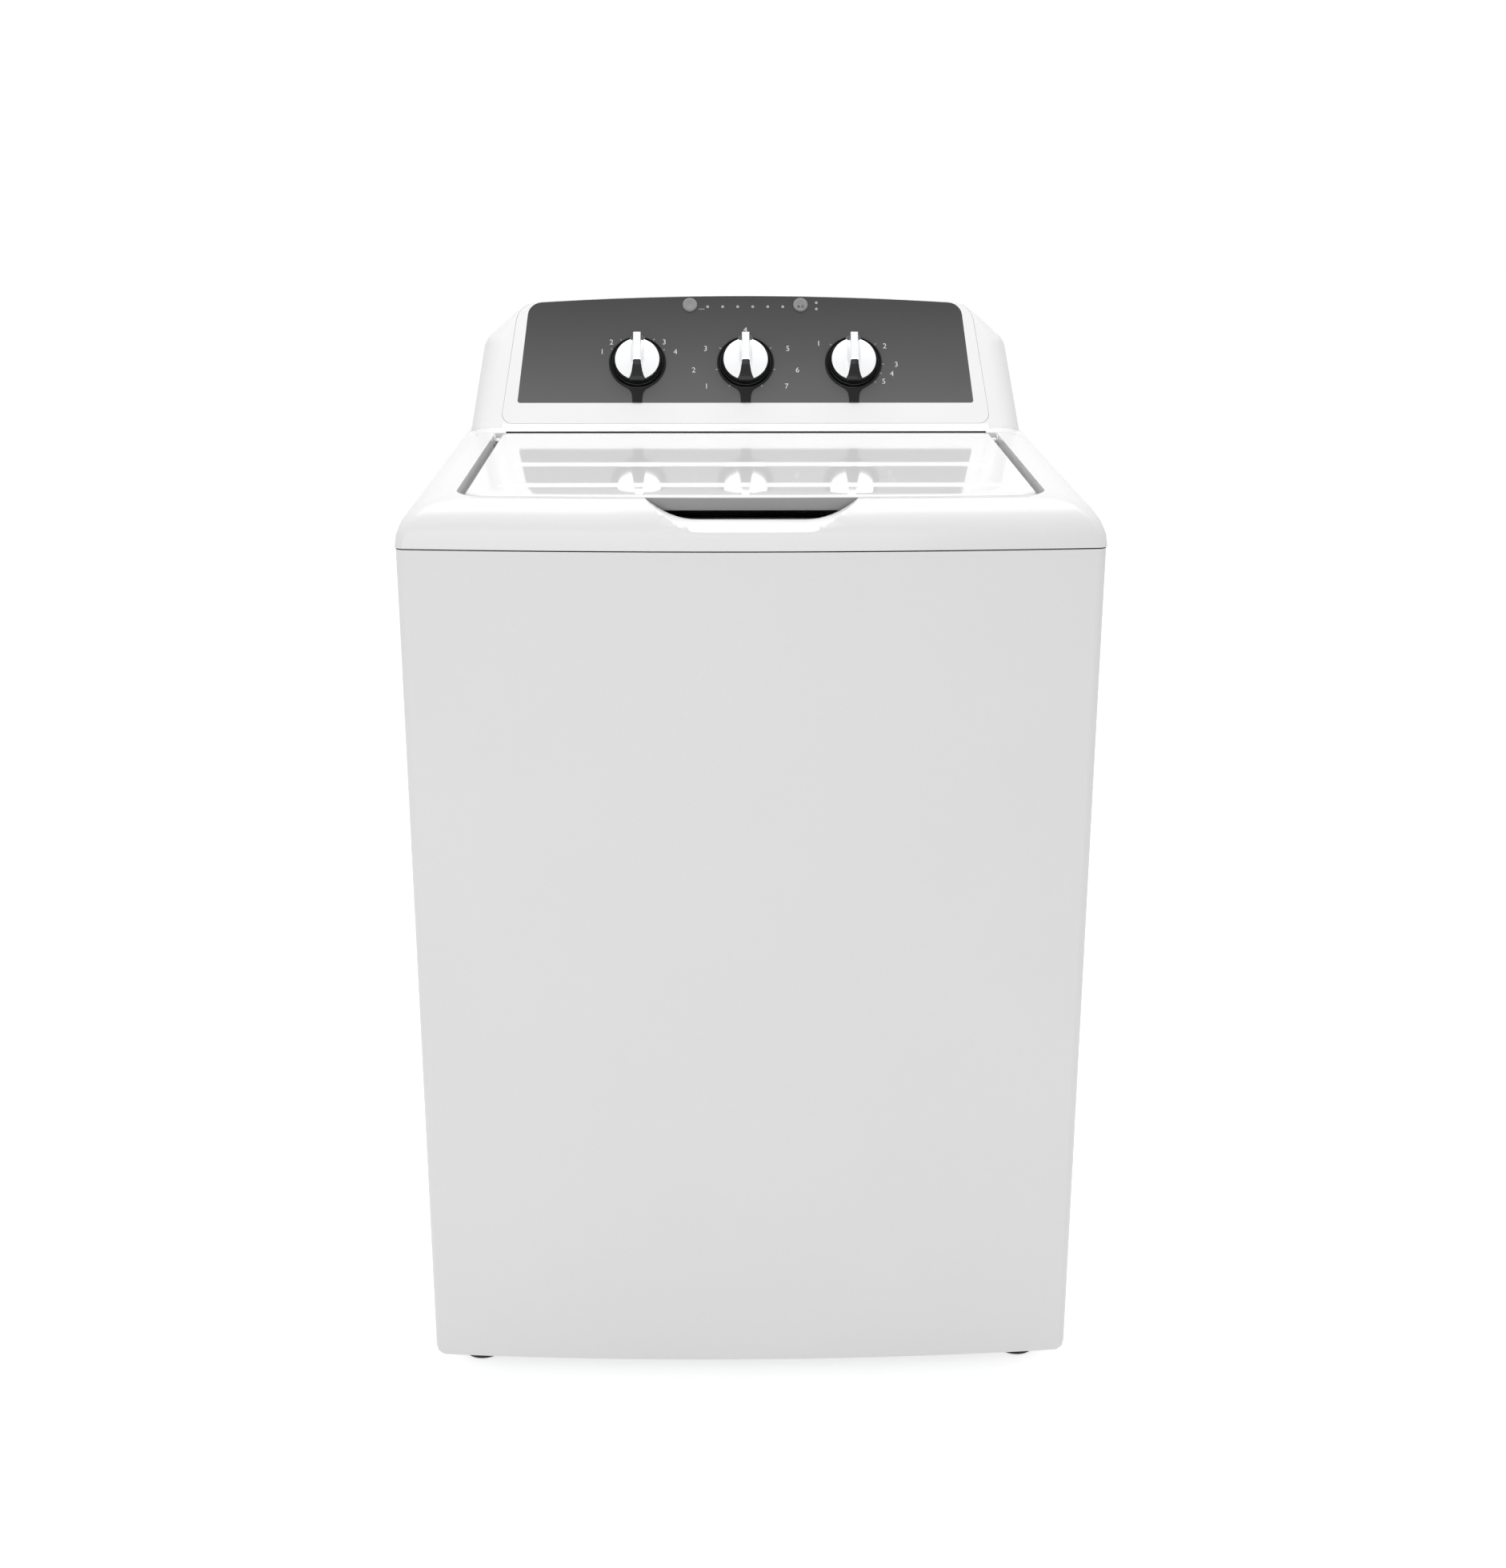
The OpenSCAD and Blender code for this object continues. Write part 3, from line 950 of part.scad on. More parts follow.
module agitator() color("white") at_drum() difference() {
    union() {
        rotate_extrude($fn = 72) polygon(concat([[0, agitator_z + 60], [24, agitator_z + 60], [24, agitator_z + 93]],
            // hollow underside
            [for (t = [1:-0.125:0]) let (r = agitator_r - 12 - (agitator_r - 8 - post_r)*t)
                [r, agitator_z + 5 + 88*pow(t, 3)]],
            [[agitator_r - 6, agitator_z], [agitator_r, agitator_z + 1], [agitator_r, agitator_z + 6]],
            [for (t = [0:0.125:1]) let (r = agitator_r - 8 - (agitator_r - 8 - post_r)*t)
                [r, agitator_z + 10 + 90*pow(t, 3)]],
            [[post_r - 4, agitator_top - 60], [post_r - 1, agitator_top - 20], [post_r - 1, agitator_top],
             [0, agitator_top]]));
        // vanes sweep up the skirt and along the post
        for (i = [0:vane_count - 1]) rotate(360*(i + 0.5)/vane_count) rotate([90, 0, 0]) linear_extrude(9, center = true)
            polygon(concat([[post_r - 12, agitator_z + 20], [agitator_r - 14, agitator_z + 9]],
                [for (t = [0:0.1:1]) [agitator_r - 16 - (agitator_r - 16 - post_r - 12)*t,
                    agitator_z + 30 + (vane_h - 80)*pow(t, 2.4)]], [[post_r - 12, agitator_z + vane_h]]));
    }
    translate([0, 0, bolt_seat_z]) cylinder(r = post_bore, h = agitator_top);
    translate([0, 0, agitator_z]) cylinder(r = shaft_r, h = 100);
}
bolt_seat_z = hub_top + 64;
module agitator_bolt() color("silver") at_drum() {
    translate([0, 0, bolt_seat_z]) cylinder(r = 20, h = 2);
    translate([0, 0, bolt_seat_z + 2]) cylinder(r = 11, h = 7, $fn = 6);
}
module agitator_cap() color("white") at_drum() rotate_extrude($fn = 64) polygon([[0, agitator_top - 4],
    [post_bore - gap, agitator_top - 4], [post_bore - gap, agitator_top], [post_r - 1.5, agitator_top],
    [post_r - 3, agitator_top + 14], [post_r - 12, agitator_top + 24], [post_r - 26, agitator_top + 26], [0, agitator_top + 22]]);

base_frame();
cabinet_wrapper();
rear_panel();
corner_brackets();
cabinet_screws();
top_cover();
bleach_dispenser();
lid_lock_housing();
lid_lock_bolt();
hinge_bushings();
console_body();
console_fascia();
control_overlay();
dial_bezels();
indicator_lenses();
console_rear_cover();
control_board();
inlet_valve();
fill_spout();
cord_inlet();
drain_port();
drain_hose();
leg_locknuts();
suspension_rods();
suspension_springs();
front_left_leg();
front_right_leg();
rear_left_leg();
rear_right_leg();
outer_tub();
tub_ring();
suspension_cups();
gearcase();
spin_bearings();
tub_seal();
drive_motor();
drive_belt();
drain_pump();
pump_impeller();
motor_pulley();
drive_pulley();
basket();
basket_base();
balance_ring();
basket_hub();
spin_tube();
drive_shaft();
agitator();
agitator_bolt();
agitator_cap();
lid_panel();
lid_liner();
lid_hinge_pins();
lid_bumpers();
lid_strike();
water_level_knob();
cycle_knob();
temperature_knob();
option_button();
start_button();
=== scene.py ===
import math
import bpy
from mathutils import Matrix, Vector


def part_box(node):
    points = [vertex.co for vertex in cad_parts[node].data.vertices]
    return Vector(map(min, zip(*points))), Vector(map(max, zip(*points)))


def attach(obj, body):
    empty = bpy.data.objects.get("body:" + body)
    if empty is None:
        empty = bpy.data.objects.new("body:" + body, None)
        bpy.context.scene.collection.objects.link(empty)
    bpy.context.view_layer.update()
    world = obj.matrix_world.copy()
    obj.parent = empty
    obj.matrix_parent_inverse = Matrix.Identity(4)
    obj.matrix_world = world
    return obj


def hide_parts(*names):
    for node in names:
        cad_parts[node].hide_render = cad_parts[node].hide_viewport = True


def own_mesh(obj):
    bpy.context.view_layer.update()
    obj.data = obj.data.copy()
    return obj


bl_info = {
    "name": "Top Load Washing Machine",
    "version": (1, 0, 0),
    "blender": (4, 5, 0),
    "location": "View3D > Sidebar > Washer",
    "description": "Dresses the frame of a top load washing machine with its finishes and fine parts",
    "category": "Object",
}

import bpy
from bpy.props import FloatProperty, FloatVectorProperty, PointerProperty
from bpy.types import Operator, Panel, PropertyGroup
from mathutils import Matrix, Vector

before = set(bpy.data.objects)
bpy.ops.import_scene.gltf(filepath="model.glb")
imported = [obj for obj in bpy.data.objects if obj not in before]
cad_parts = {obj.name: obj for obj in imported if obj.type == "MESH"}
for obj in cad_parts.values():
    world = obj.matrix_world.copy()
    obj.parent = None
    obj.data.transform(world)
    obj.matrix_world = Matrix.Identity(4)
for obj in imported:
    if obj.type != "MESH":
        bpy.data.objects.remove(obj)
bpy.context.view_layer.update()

MM = 0.001
TOUCH = 0.000001         # points nearer than this are one point
FACET_TOUCH = 0.00001    # the same for the facets of a frame node
EDGE_ANGLE = 28          # degrees; a sharper edge stays sharp
COVER_EDGE_ANGLE = 40    # wider on the top cover, for the lip of its scoop


def linear(code):
    """Linear RGBA of an sRGB hex colour such as 'E9E9E9'."""
    parts = [int(code[i:i + 2], 16) / 255 for i in (0, 2, 4)]
    return tuple(c / 12.92 if c <= 0.04045 else ((c + 0.055) / 1.055) ** 2.4 for c in parts) + (1.0,)


def colour_property(name, code, description):
    """A colour setting with its default."""
    return FloatVectorProperty(
        name=name, description=description, subtype="COLOR", size=4, min=0.0, max=1.0, default=linear(code)
    )


# ---- settings ----
class FinishSettings(PropertyGroup):
    """Colours of the finishes."""

    enamel: colour_property("Enamel", "ECECEC", "Baked enamel of the cabinet, cover and lid")
    moulding: colour_property("Mouldings", "F1F1F1", "White ABS of the console")
    overlay: colour_property("Overlay", "343435", "Top of the printed polycarbonate overlay")
    # the foot colour is a painted reflection of the pale surround on the glossy overlay
    overlay_foot_reflection: colour_property("Overlay foot", "5C5C5D", "Foot of the overlay, where its print is lighter")
    print_light: colour_property("Print", "D8D8D8", "Light print on the overlay")
    silver: colour_property("Silver", "EEEFF0", "Plated caps of the dials")
    button: colour_property("Buttons", "828282", "Satin grey push buttons")


class DialSettings(PropertyGroup):
    """Sizes of the dials, in metres."""

    cap_radius: FloatProperty(
        name="Cap radius", description="Radius of the plated cap", unit="LENGTH", default=0.0262
    )
    cap_height: FloatProperty(
        name="Cap height", description="Height of the cap's flat face above the overlay", unit="LENGTH", default=0.0118
    )
    bar_width: FloatProperty(name="Bar width", description="Width of the pointer bar", unit="LENGTH", default=0.0092)
    bar_height: FloatProperty(
        name="Bar height", description="Height of the pointer bar above the overlay", unit="LENGTH", default=0.025
    )
    figure_height: FloatProperty(
        name="Figure height", description="Type size of the dial figures", unit="LENGTH", default=0.0092
    )


class StageSettings(PropertyGroup):
    """Light and camera."""

    front_light: FloatProperty(
        name="Front light", description="Power of the large front softbox", subtype="POWER", default=37.0
    )
    top_light: FloatProperty(
        name="Top light", description="Power of the overhead softbox", subtype="POWER", default=35.0
    )
    surround: FloatProperty(name="Surround", description="Strength of the pale surround", default=0.46)
    lens: FloatProperty(name="Lens", description="Camera focal length in millimetres", default=48.475)


# ---- the leaning control face ----
TILT = math.radians(31)
OVERLAY_LOW, OVERLAY_HIGH = (Vector(corner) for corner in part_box("control_overlay"))
OVERLAY_FOOT = 0.0009    # length up the face to the overlay's lower edge
OVERLAY_TOP = 0.1365     # and to the top of its arch
FACE = Matrix.Translation((0, OVERLAY_LOW.y - OVERLAY_FOOT * math.sin(TILT),
                           OVERLAY_HIGH.z - OVERLAY_TOP * math.cos(TILT))) @ Matrix.Rotation(math.pi / 2 - TILT, 4, "X")
DIAL_S = 0.0515          # and to the middles of the dials
DIALS = {name: (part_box(name)[0][0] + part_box(name)[1][0]) / 2
         for name in ("water_level_knob", "cycle_knob", "temperature_knob")}


# ---- shader helpers ----
def node(tree, kind, inputs=None, **settings):
    """Add one shader node with its settings, values and links."""
    made = tree.nodes.new(kind)
    for name, value in settings.items():
        setattr(made, name, value)
    for socket, value in (inputs or {}).items():
        if isinstance(value, bpy.types.NodeSocket):
            tree.links.new(value, made.inputs[socket])
        else:
            made.inputs[socket].default_value = value
    return made


def finish(name, colour, roughness, grain_mm=1.0, depth_mm=0.0, mottle=0.04, patch_mm=60.0,
           stretch=(1, 1, 1), spread=0.06, **sockets):
    """A surface whose colour, roughness and relief vary as the real finish does."""
    material = bpy.data.materials.new(name)
    material.use_nodes = True
    tree = material.node_tree
    tree.nodes.clear()
    place = node(tree, "ShaderNodeTexCoord").outputs["Object"]
    fine = node(tree, "ShaderNodeMapping", {"Vector": place, "Scale": stretch})
    grain = node(tree, "ShaderNodeTexNoise", {"Vector": fine.outputs[0], "Scale": 1 / (grain_mm * MM),
                                              "Detail": 3.0, "Roughness": 0.55})
    patch = node(tree, "ShaderNodeTexNoise", {"Vector": place, "Scale": 1 / (patch_mm * MM), "Detail": 2.0})
    shade = node(tree, "ShaderNodeMapRange", {"Value": patch.outputs["Fac"], "From Min": 0.3, "From Max": 0.7,
                                              "To Min": 1 - mottle, "To Max": 1.0})
    tint = node(tree, "ShaderNodeMix", data_type="RGBA", blend_type="MULTIPLY")
    tint.inputs[0].default_value = 1.0
    tint.inputs[6].default_value = colour
    tree.links.new(shade.outputs[0], tint.inputs[7])
    gloss = node(tree, "ShaderNodeMapRange", {"Value": grain.outputs["Fac"], "From Min": 0.3, "From Max": 0.7,
                                              "To Min": max(roughness - spread / 2, 0.0),
                                              "To Max": roughness + spread / 2})
    surface = node(tree, "ShaderNodeBsdfPrincipled", {"Base Color": tint.outputs[2], "Roughness": gloss.outputs[0],
                                                      **sockets})
    if depth_mm:
        relief = node(tree, "ShaderNodeBump", {"Height": grain.outputs["Fac"], "Distance": depth_mm * MM,
                                               "Strength": 1.0})
        tree.links.new(relief.outputs[0], surface.inputs["Normal"])
    out = node(tree, "ShaderNodeOutputMaterial")
    tree.links.new(surface.outputs[0], out.inputs["Surface"])
    return material


def reflection_graded(material, reflection_colour):
    """Paint a reflection onto the overlay: its colour grows lighter towards its foot, where the glossy sheet mirrors
    the pale surround.
    """
    tree = material.node_tree
    tint = next(n for n in tree.nodes if n.type == "MIX")
    place = next(n for n in tree.nodes if n.type == "TEX_COORD").outputs["Object"]
    axes = node(tree, "ShaderNodeSeparateXYZ", {0: place})
    # painted reflection: the colour turns lighter from the overlay's top down to its foot
    share = node(tree, "ShaderNodeMapRange", {"Value": axes.outputs["Z"], "From Min": OVERLAY_LOW.z,
                                              "From Max": OVERLAY_HIGH.z, "To Min": 1.0, "To Max": 0.0})
    blend = node(tree, "ShaderNodeMix", data_type="RGBA")
    tree.links.new(share.outputs[0], blend.inputs[0])
    blend.inputs[6].default_value = tint.inputs[6].default_value
    blend.inputs[7].default_value = reflection_colour
    tree.links.new(blend.outputs[2], tint.inputs[6])
    return material


def threaded(material, past_y, pitch_mm):
    """Cut hose threads into a moulding, on the part that stands out behind the panel."""
    tree = material.node_tree
    surface = next(n for n in tree.nodes if n.type == "BSDF_PRINCIPLED")
    place = next(n for n in tree.nodes if n.type == "TEX_COORD").outputs["Object"]
    axes = node(tree, "ShaderNodeSeparateXYZ", {0: place})
    turns = node(tree, "ShaderNodeMath", {0: axes.outputs["Y"], 1: 2 * math.pi / (pitch_mm * MM)},
                 operation="MULTIPLY")
    wave = node(tree, "ShaderNodeMath", {0: turns.outputs[0]}, operation="SINE")
    outside = node(tree, "ShaderNodeMath", {0: axes.outputs["Y"], 1: past_y}, operation="GREATER_THAN")
    cut = node(tree, "ShaderNodeMath", {0: wave.outputs[0], 1: outside.outputs[0]}, operation="MULTIPLY")
    relief = node(tree, "ShaderNodeBump", {"Height": cut.outputs[0], "Distance": 0.5 * MM, "Strength": 1.0})
    tree.links.new(relief.outputs[0], surface.inputs["Normal"])
    return material


def make_finishes():
    """Every finish of the machine, by the name of what it is."""
    set_ = bpy.context.scene.washer_finish
    enamel, moulding = tuple(set_.enamel), tuple(set_.moulding)
    return {
        # Baked enamel on steel sheet: a hard, slightly wavy gloss with fine orange peel
        "enamel": finish("baked_enamel", enamel, 0.30, grain_mm=1.6, depth_mm=0.004, mottle=0.012,
                         patch_mm=180, IOR=1.5, **{"Coat Weight": 0.25, "Coat Roughness": 0.12}),
        # The lid is the same enamel, polished enough to mirror the console; its colour, lighter than the cabinet's, is
        # painted light
        "lid_enamel_brightened": finish("polished_enamel_brightened", linear("F2F2F2"), 0.06, grain_mm=2.4, depth_mm=0.0012, mottle=0.01,
                             patch_mm=180, spread=0.02, IOR=1.56),
        # Injection moulded white ABS, polished tool: smooth, soft highlights
        "white_abs": finish("white_abs", moulding, 0.24, grain_mm=1.2, depth_mm=0.002, mottle=0.012,
                            patch_mm=140, IOR=1.53),
        # Screen printed polycarbonate sheet, glossy front; its lighter foot is a painted reflection of the surround
        "overlay": reflection_graded(finish("overlay_polycarbonate", tuple(set_.overlay), 0.16, grain_mm=1.5,
                                 depth_mm=0.0015, mottle=0.05, patch_mm=90, IOR=1.5), tuple(set_.overlay_foot_reflection)),
        # Piano black moulding of the bezels and skirts
        "black_abs": finish("black_abs", linear("0B0B0C"), 0.18, grain_mm=1.0, depth_mm=0.002, IOR=1.35),
        # Satin nickel plating on the caps
        "silver": finish("satin_nickel", tuple(set_.silver), 0.26, grain_mm=0.5, depth_mm=0.001, mottle=0.02,
                         Metallic=1.0),
        # Pad printed light ink
        "ink": finish("light_ink", tuple(set_.print_light), 0.5, grain_mm=0.6, depth_mm=0.001, mottle=0.03),
        "blue_ink": finish("blue_ink", linear("2F7FB8"), 0.5, grain_mm=0.6, depth_mm=0.001, mottle=0.03),
        "red_ink": finish("red_ink", linear("C8502E"), 0.5, grain_mm=0.6, depth_mm=0.001, mottle=0.03),
        # Satin ABS with a spark eroded texture
        "button_grey": finish("satin_grey_abs", tuple(set_.button), 0.42, grain_mm=0.4, depth_mm=0.004, IOR=1.53),
        # Frosted acrylic lamp lens, unlit
        "lens": finish("frosted_acrylic", linear("9FA1A3"), 0.45, grain_mm=0.3, depth_mm=0.002, IOR=1.49),
        # Hot dipped zinc: crystals a few millimetres across
        "zinc": finish("galvanised_sheet", linear("B6B9BC"), 0.42, grain_mm=7.0, depth_mm=0.006, mottle=0.22,
                       patch_mm=9.0, spread=0.18, Metallic=1.0),
        # Bright zinc plated fastenings and wire
        "plated": finish("plated_steel", linear("C3C5C8"), 0.28, grain_mm=0.8, depth_mm=0.003, mottle=0.08,
                         patch_mm=12, Metallic=1.0),
        # Stainless drum, brushed round its height: long fine horizontal lines
        "stainless": finish("brushed_stainless", linear("C9CBCD"), 0.27, grain_mm=3.0, depth_mm=0.005,
                            mottle=0.10, patch_mm=40, stretch=(0.12, 0.12, 8), spread=0.16, Metallic=1.0),
        # Filled polypropylene, light grey: faint flow marks and a matt skin
        "grey_pp": finish("grey_polypropylene", linear("9EA4AA"), 0.52, grain_mm=1.2, depth_mm=0.02, mottle=0.07,
                          patch_mm=70, IOR=1.49),
        "light_pp": finish("white_polypropylene", linear("E2E4E5"), 0.38, grain_mm=1.0, depth_mm=0.008,
                           mottle=0.03, patch_mm=60, IOR=1.49),
        # Glass filled nylon, matt and a little fibrous
        "dark_nylon": finish("dark_nylon", linear("161617"), 0.5, grain_mm=0.7, depth_mm=0.01, mottle=0.15,
                             patch_mm=20, IOR=1.53),
        "valve_nylon": threaded(finish("natural_nylon", linear("D5DACF"), 0.42, grain_mm=0.7, depth_mm=0.008,
                                       mottle=0.06, patch_mm=16, IOR=1.53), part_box("rear_panel")[1][1] + 0.003, 2.2),
        # Grey strip under the lid's front fold, painted shade: it darkens the front face that the scoop shades
        "shade_grey": finish("painted_shade_grey", linear("949494"), 0.5, grain_mm=0.5, depth_mm=0.004, mottle=0.03,
                            patch_mm=40, IOR=1.5),
        # Black strips that paint the shade in the seam and at the console's foot
        "painted_shade": finish("black_painted_shade", linear("2A2A2B"), 0.9, grain_mm=0.5, depth_mm=0.05, mottle=0.2, patch_mm=8),
        "dark_ink": finish("dark_ink", linear("3A3A3C"), 0.5, grain_mm=0.6, depth_mm=0.001, mottle=0.03),
        # Vulcanised rubber: matt, faintly bloomed
        "rubber": finish("black_rubber", linear("17171A"), 0.72, grain_mm=0.6, depth_mm=0.02, mottle=0.3,
                         patch_mm=14, IOR=1.5),
        "hose_rubber": finish("hose_epdm", linear("232325"), 0.62, grain_mm=0.8, depth_mm=0.02, mottle=0.25,
                              patch_mm=25, IOR=1.5),
        # Die cast aluminium, as cast: pebbled skin
        "cast_aluminium": finish("cast_aluminium", linear("B4B6B9"), 0.45, grain_mm=1.5, depth_mm=0.03,
                                 mottle=0.14, patch_mm=24, spread=0.15, Metallic=1.0),
        # Black stoved paint on the motor
        "motor_paint": finish("stoved_black_paint", linear("1B1C1E"), 0.38, grain_mm=1.4, depth_mm=0.01,
                              mottle=0.12, patch_mm=30, IOR=1.5),
        # Green solder resist over the board
        "solder_resist": finish("solder_resist", linear("1C5A38"), 0.3, grain_mm=0.9, depth_mm=0.004,
                                mottle=0.2, patch_mm=6, IOR=1.55),
    }


NODE_FINISH = {
    "enamel": ("cabinet_wrapper", "top_cover"),
    "lid_enamel_brightened": ("lid_panel",),
    "white_abs": ("console_body", "console_fascia"),
    "overlay": ("control_overlay",),
    "black_abs": ("dial_bezels",),
    "silver": ("water_level_knob", "cycle_knob", "temperature_knob"),
    "button_grey": ("option_button", "start_button"),
    "lens": ("indicator_lenses",),
    "zinc": ("base_frame", "rear_panel", "corner_brackets", "console_rear_cover"),
    "plated": ("cabinet_screws", "lid_lock_bolt", "leg_locknuts", "suspension_rods", "suspension_springs",
               "spin_bearings", "spin_tube", "drive_shaft", "agitator_bolt", "lid_hinge_pins", "lid_strike"),
    "stainless": ("basket", "basket_base"),
    "grey_pp": ("outer_tub", "pump_impeller"),
    "light_pp": ("bleach_dispenser", "hinge_bushings", "tub_ring", "suspension_cups", "drain_pump",
                 "balance_ring", "agitator", "agitator_cap", "lid_liner"),
    "dark_nylon": ("lid_lock_housing", "cord_inlet", "drain_port"),
    "valve_nylon": ("inlet_valve",),
    "rubber": ("front_left_leg", "front_right_leg", "rear_left_leg", "rear_right_leg", "tub_seal",
               "drive_belt", "lid_bumpers"),
    "hose_rubber": ("fill_spout", "drain_hose"),
    "cast_aluminium": ("gearcase", "motor_pulley", "drive_pulley", "basket_hub"),
    "motor_paint": ("drive_motor",),
    "solder_resist": ("control_board",),
}
FINISH = {}              # filled by the finishes operator


# ---- modelling helpers ----
def dress(name, material):
    """Give a frame node its finish and smooth its curved faces."""
    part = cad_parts[name]
    part.data.materials.clear()
    part.data.materials.append(material)
    part.data.polygons.foreach_set("use_smooth", [True] * len(part.data.polygons))
    weld = part.modifiers.new("weld", "WELD")
    weld.merge_threshold = FACET_TOUCH
    split = part.modifiers.new("edges", "EDGE_SPLIT")
    split.split_angle = math.radians(COVER_EDGE_ANGLE if name == "top_cover" else EDGE_ANGLE)
    flat = part.modifiers.new("flats", "WEIGHTED_NORMAL")
    flat.weight = 100


def begin(name, point):
    """Start a mesh as one vertex, left open in edit mode."""
    bpy.ops.object.select_all(action="DESELECT")
    bpy.ops.mesh.primitive_plane_add(size=MM)
    piece = bpy.context.object
    piece.name = name
    bpy.ops.object.mode_set(mode="EDIT")
    bpy.ops.mesh.select_mode(type="VERT")
    bpy.ops.mesh.select_all(action="SELECT")
    bpy.ops.mesh.merge(type="CENTER")
    bpy.ops.transform.translate(value=point)
    return piece


def draw(points):
    """Extrude the selected vertex along a chain of points, given from where it stands."""
    for a, b in zip(points, points[1:]):
        bpy.ops.mesh.extrude_region_move(TRANSFORM_OT_translate={"value": Vector(b) - Vector(a)})


def close_mesh():
    """Merge doubled points and turn the faces outwards."""
    bpy.ops.mesh.select_all(action="SELECT")
    bpy.ops.mesh.remove_doubles(threshold=TOUCH)
    bpy.ops.mesh.normals_make_consistent(inside=False)
    bpy.ops.object.mode_set(mode="OBJECT")


def turned(name, profile, steps=72):
    """A turned piece: its profile of (radius, height) spun round Z."""
    points = [(r, 0.0, h) for r, h in profile]
    piece = begin(name, points[0])
    draw(points)
    bpy.ops.mesh.select_all(action="SELECT")
    bpy.ops.mesh.spin(steps=steps, angle=2 * math.pi, center=(0, 0, 0), axis=(0, 0, 1))
    close_mesh()
    return piece


def plate(name, outline, low, high):
    """A flat piece: a closed outline of (x, y) filled and given its thickness."""
    points = [(x, y, low) for x, y in outline]
    piece = begin(name, points[0])
    draw(points + points[:1])
    bpy.ops.mesh.select_all(action="SELECT")
    bpy.ops.mesh.remove_doubles(threshold=TOUCH)
    bpy.ops.mesh.edge_face_add()
    bpy.ops.mesh.extrude_region_move(TRANSFORM_OT_translate={"value": (0, 0, high - low)})
    close_mesh()
    return piece


def ridge(name, sections):
    """A piece drawn through sections, each a closed list of points of the same count."""
    piece = begin(name, sections[0][0])
    for k, ring in enumerate(sections):
        if k:
            bpy.ops.mesh.select_all(action="DESELECT")
            bpy.ops.mesh.primitive_plane_add(size=MM)
            bpy.ops.mesh.merge(type="CENTER")
            bpy.ops.transform.translate(value=ring[0])
        draw(list(ring) + [ring[0]])
    bpy.ops.mesh.select_all(action="SELECT")
    bpy.ops.mesh.remove_doubles(threshold=TOUCH)
    bpy.ops.mesh.bridge_edge_loops(type="SINGLE")
    bpy.ops.mesh.select_all(action="DESELECT")
    bpy.ops.mesh.select_mode(type="EDGE")
    bpy.ops.mesh.select_non_manifold()
    bpy.ops.mesh.edge_face_add()
    bpy.ops.mesh.select_mode(type="VERT")
    close_mesh()
    return piece


def modify(piece, kind, **settings):
    """Add one modifier with its settings and apply it."""
    change = piece.modifiers.new(kind.lower(), kind)
    for name, value in settings.items():
        setattr(change, name, value)
    bpy.ops.object.select_all(action="DESELECT")
    bpy.context.view_layer.objects.active = piece
    piece.select_set(True)
    bpy.ops.object.modifier_apply(modifier=change.name)
    return piece


def place(piece, matrix, material, body, slot, replaced=(), angle=35):
    """Smooth a piece, move its mesh to where it belongs and fix it to its body."""
    bpy.ops.object.select_all(action="DESELECT")
    bpy.context.view_layer.objects.active = piece
    piece.select_set(True)
    if angle:
        bpy.ops.object.shade_smooth_by_angle(angle=math.radians(angle))
    piece.matrix_world = matrix @ piece.matrix_world
    bpy.ops.object.transform_apply(location=True, rotation=True, scale=True)
    piece.data.materials.clear()
    piece.data.materials.append(FINISH[material])
    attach(piece, body)
    if replaced:
        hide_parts(*replaced)
    return piece


def figure(text, size, at, height):
    """A printed figure as a thin mesh, centred on a point."""
    bpy.ops.object.select_all(action="DESELECT")
    bpy.ops.object.text_add(location=(at[0], at[1], height))
    piece = bpy.context.object
    piece.data.body = text
    piece.data.size = size
    piece.data.align_x = "CENTER"
    piece.data.align_y = "CENTER"
    piece.data.resolution_u = 4
    bpy.ops.object.convert(target="MESH")
    return bpy.context.object


def joined(name, pieces):
    """One object out of several."""
    bpy.ops.object.select_all(action="DESELECT")
    for piece in pieces:
        piece.select_set(True)
    bpy.context.view_layer.objects.active = pieces[0]
    bpy.ops.object.join()
    pieces[0].name = name
    return pieces[0]


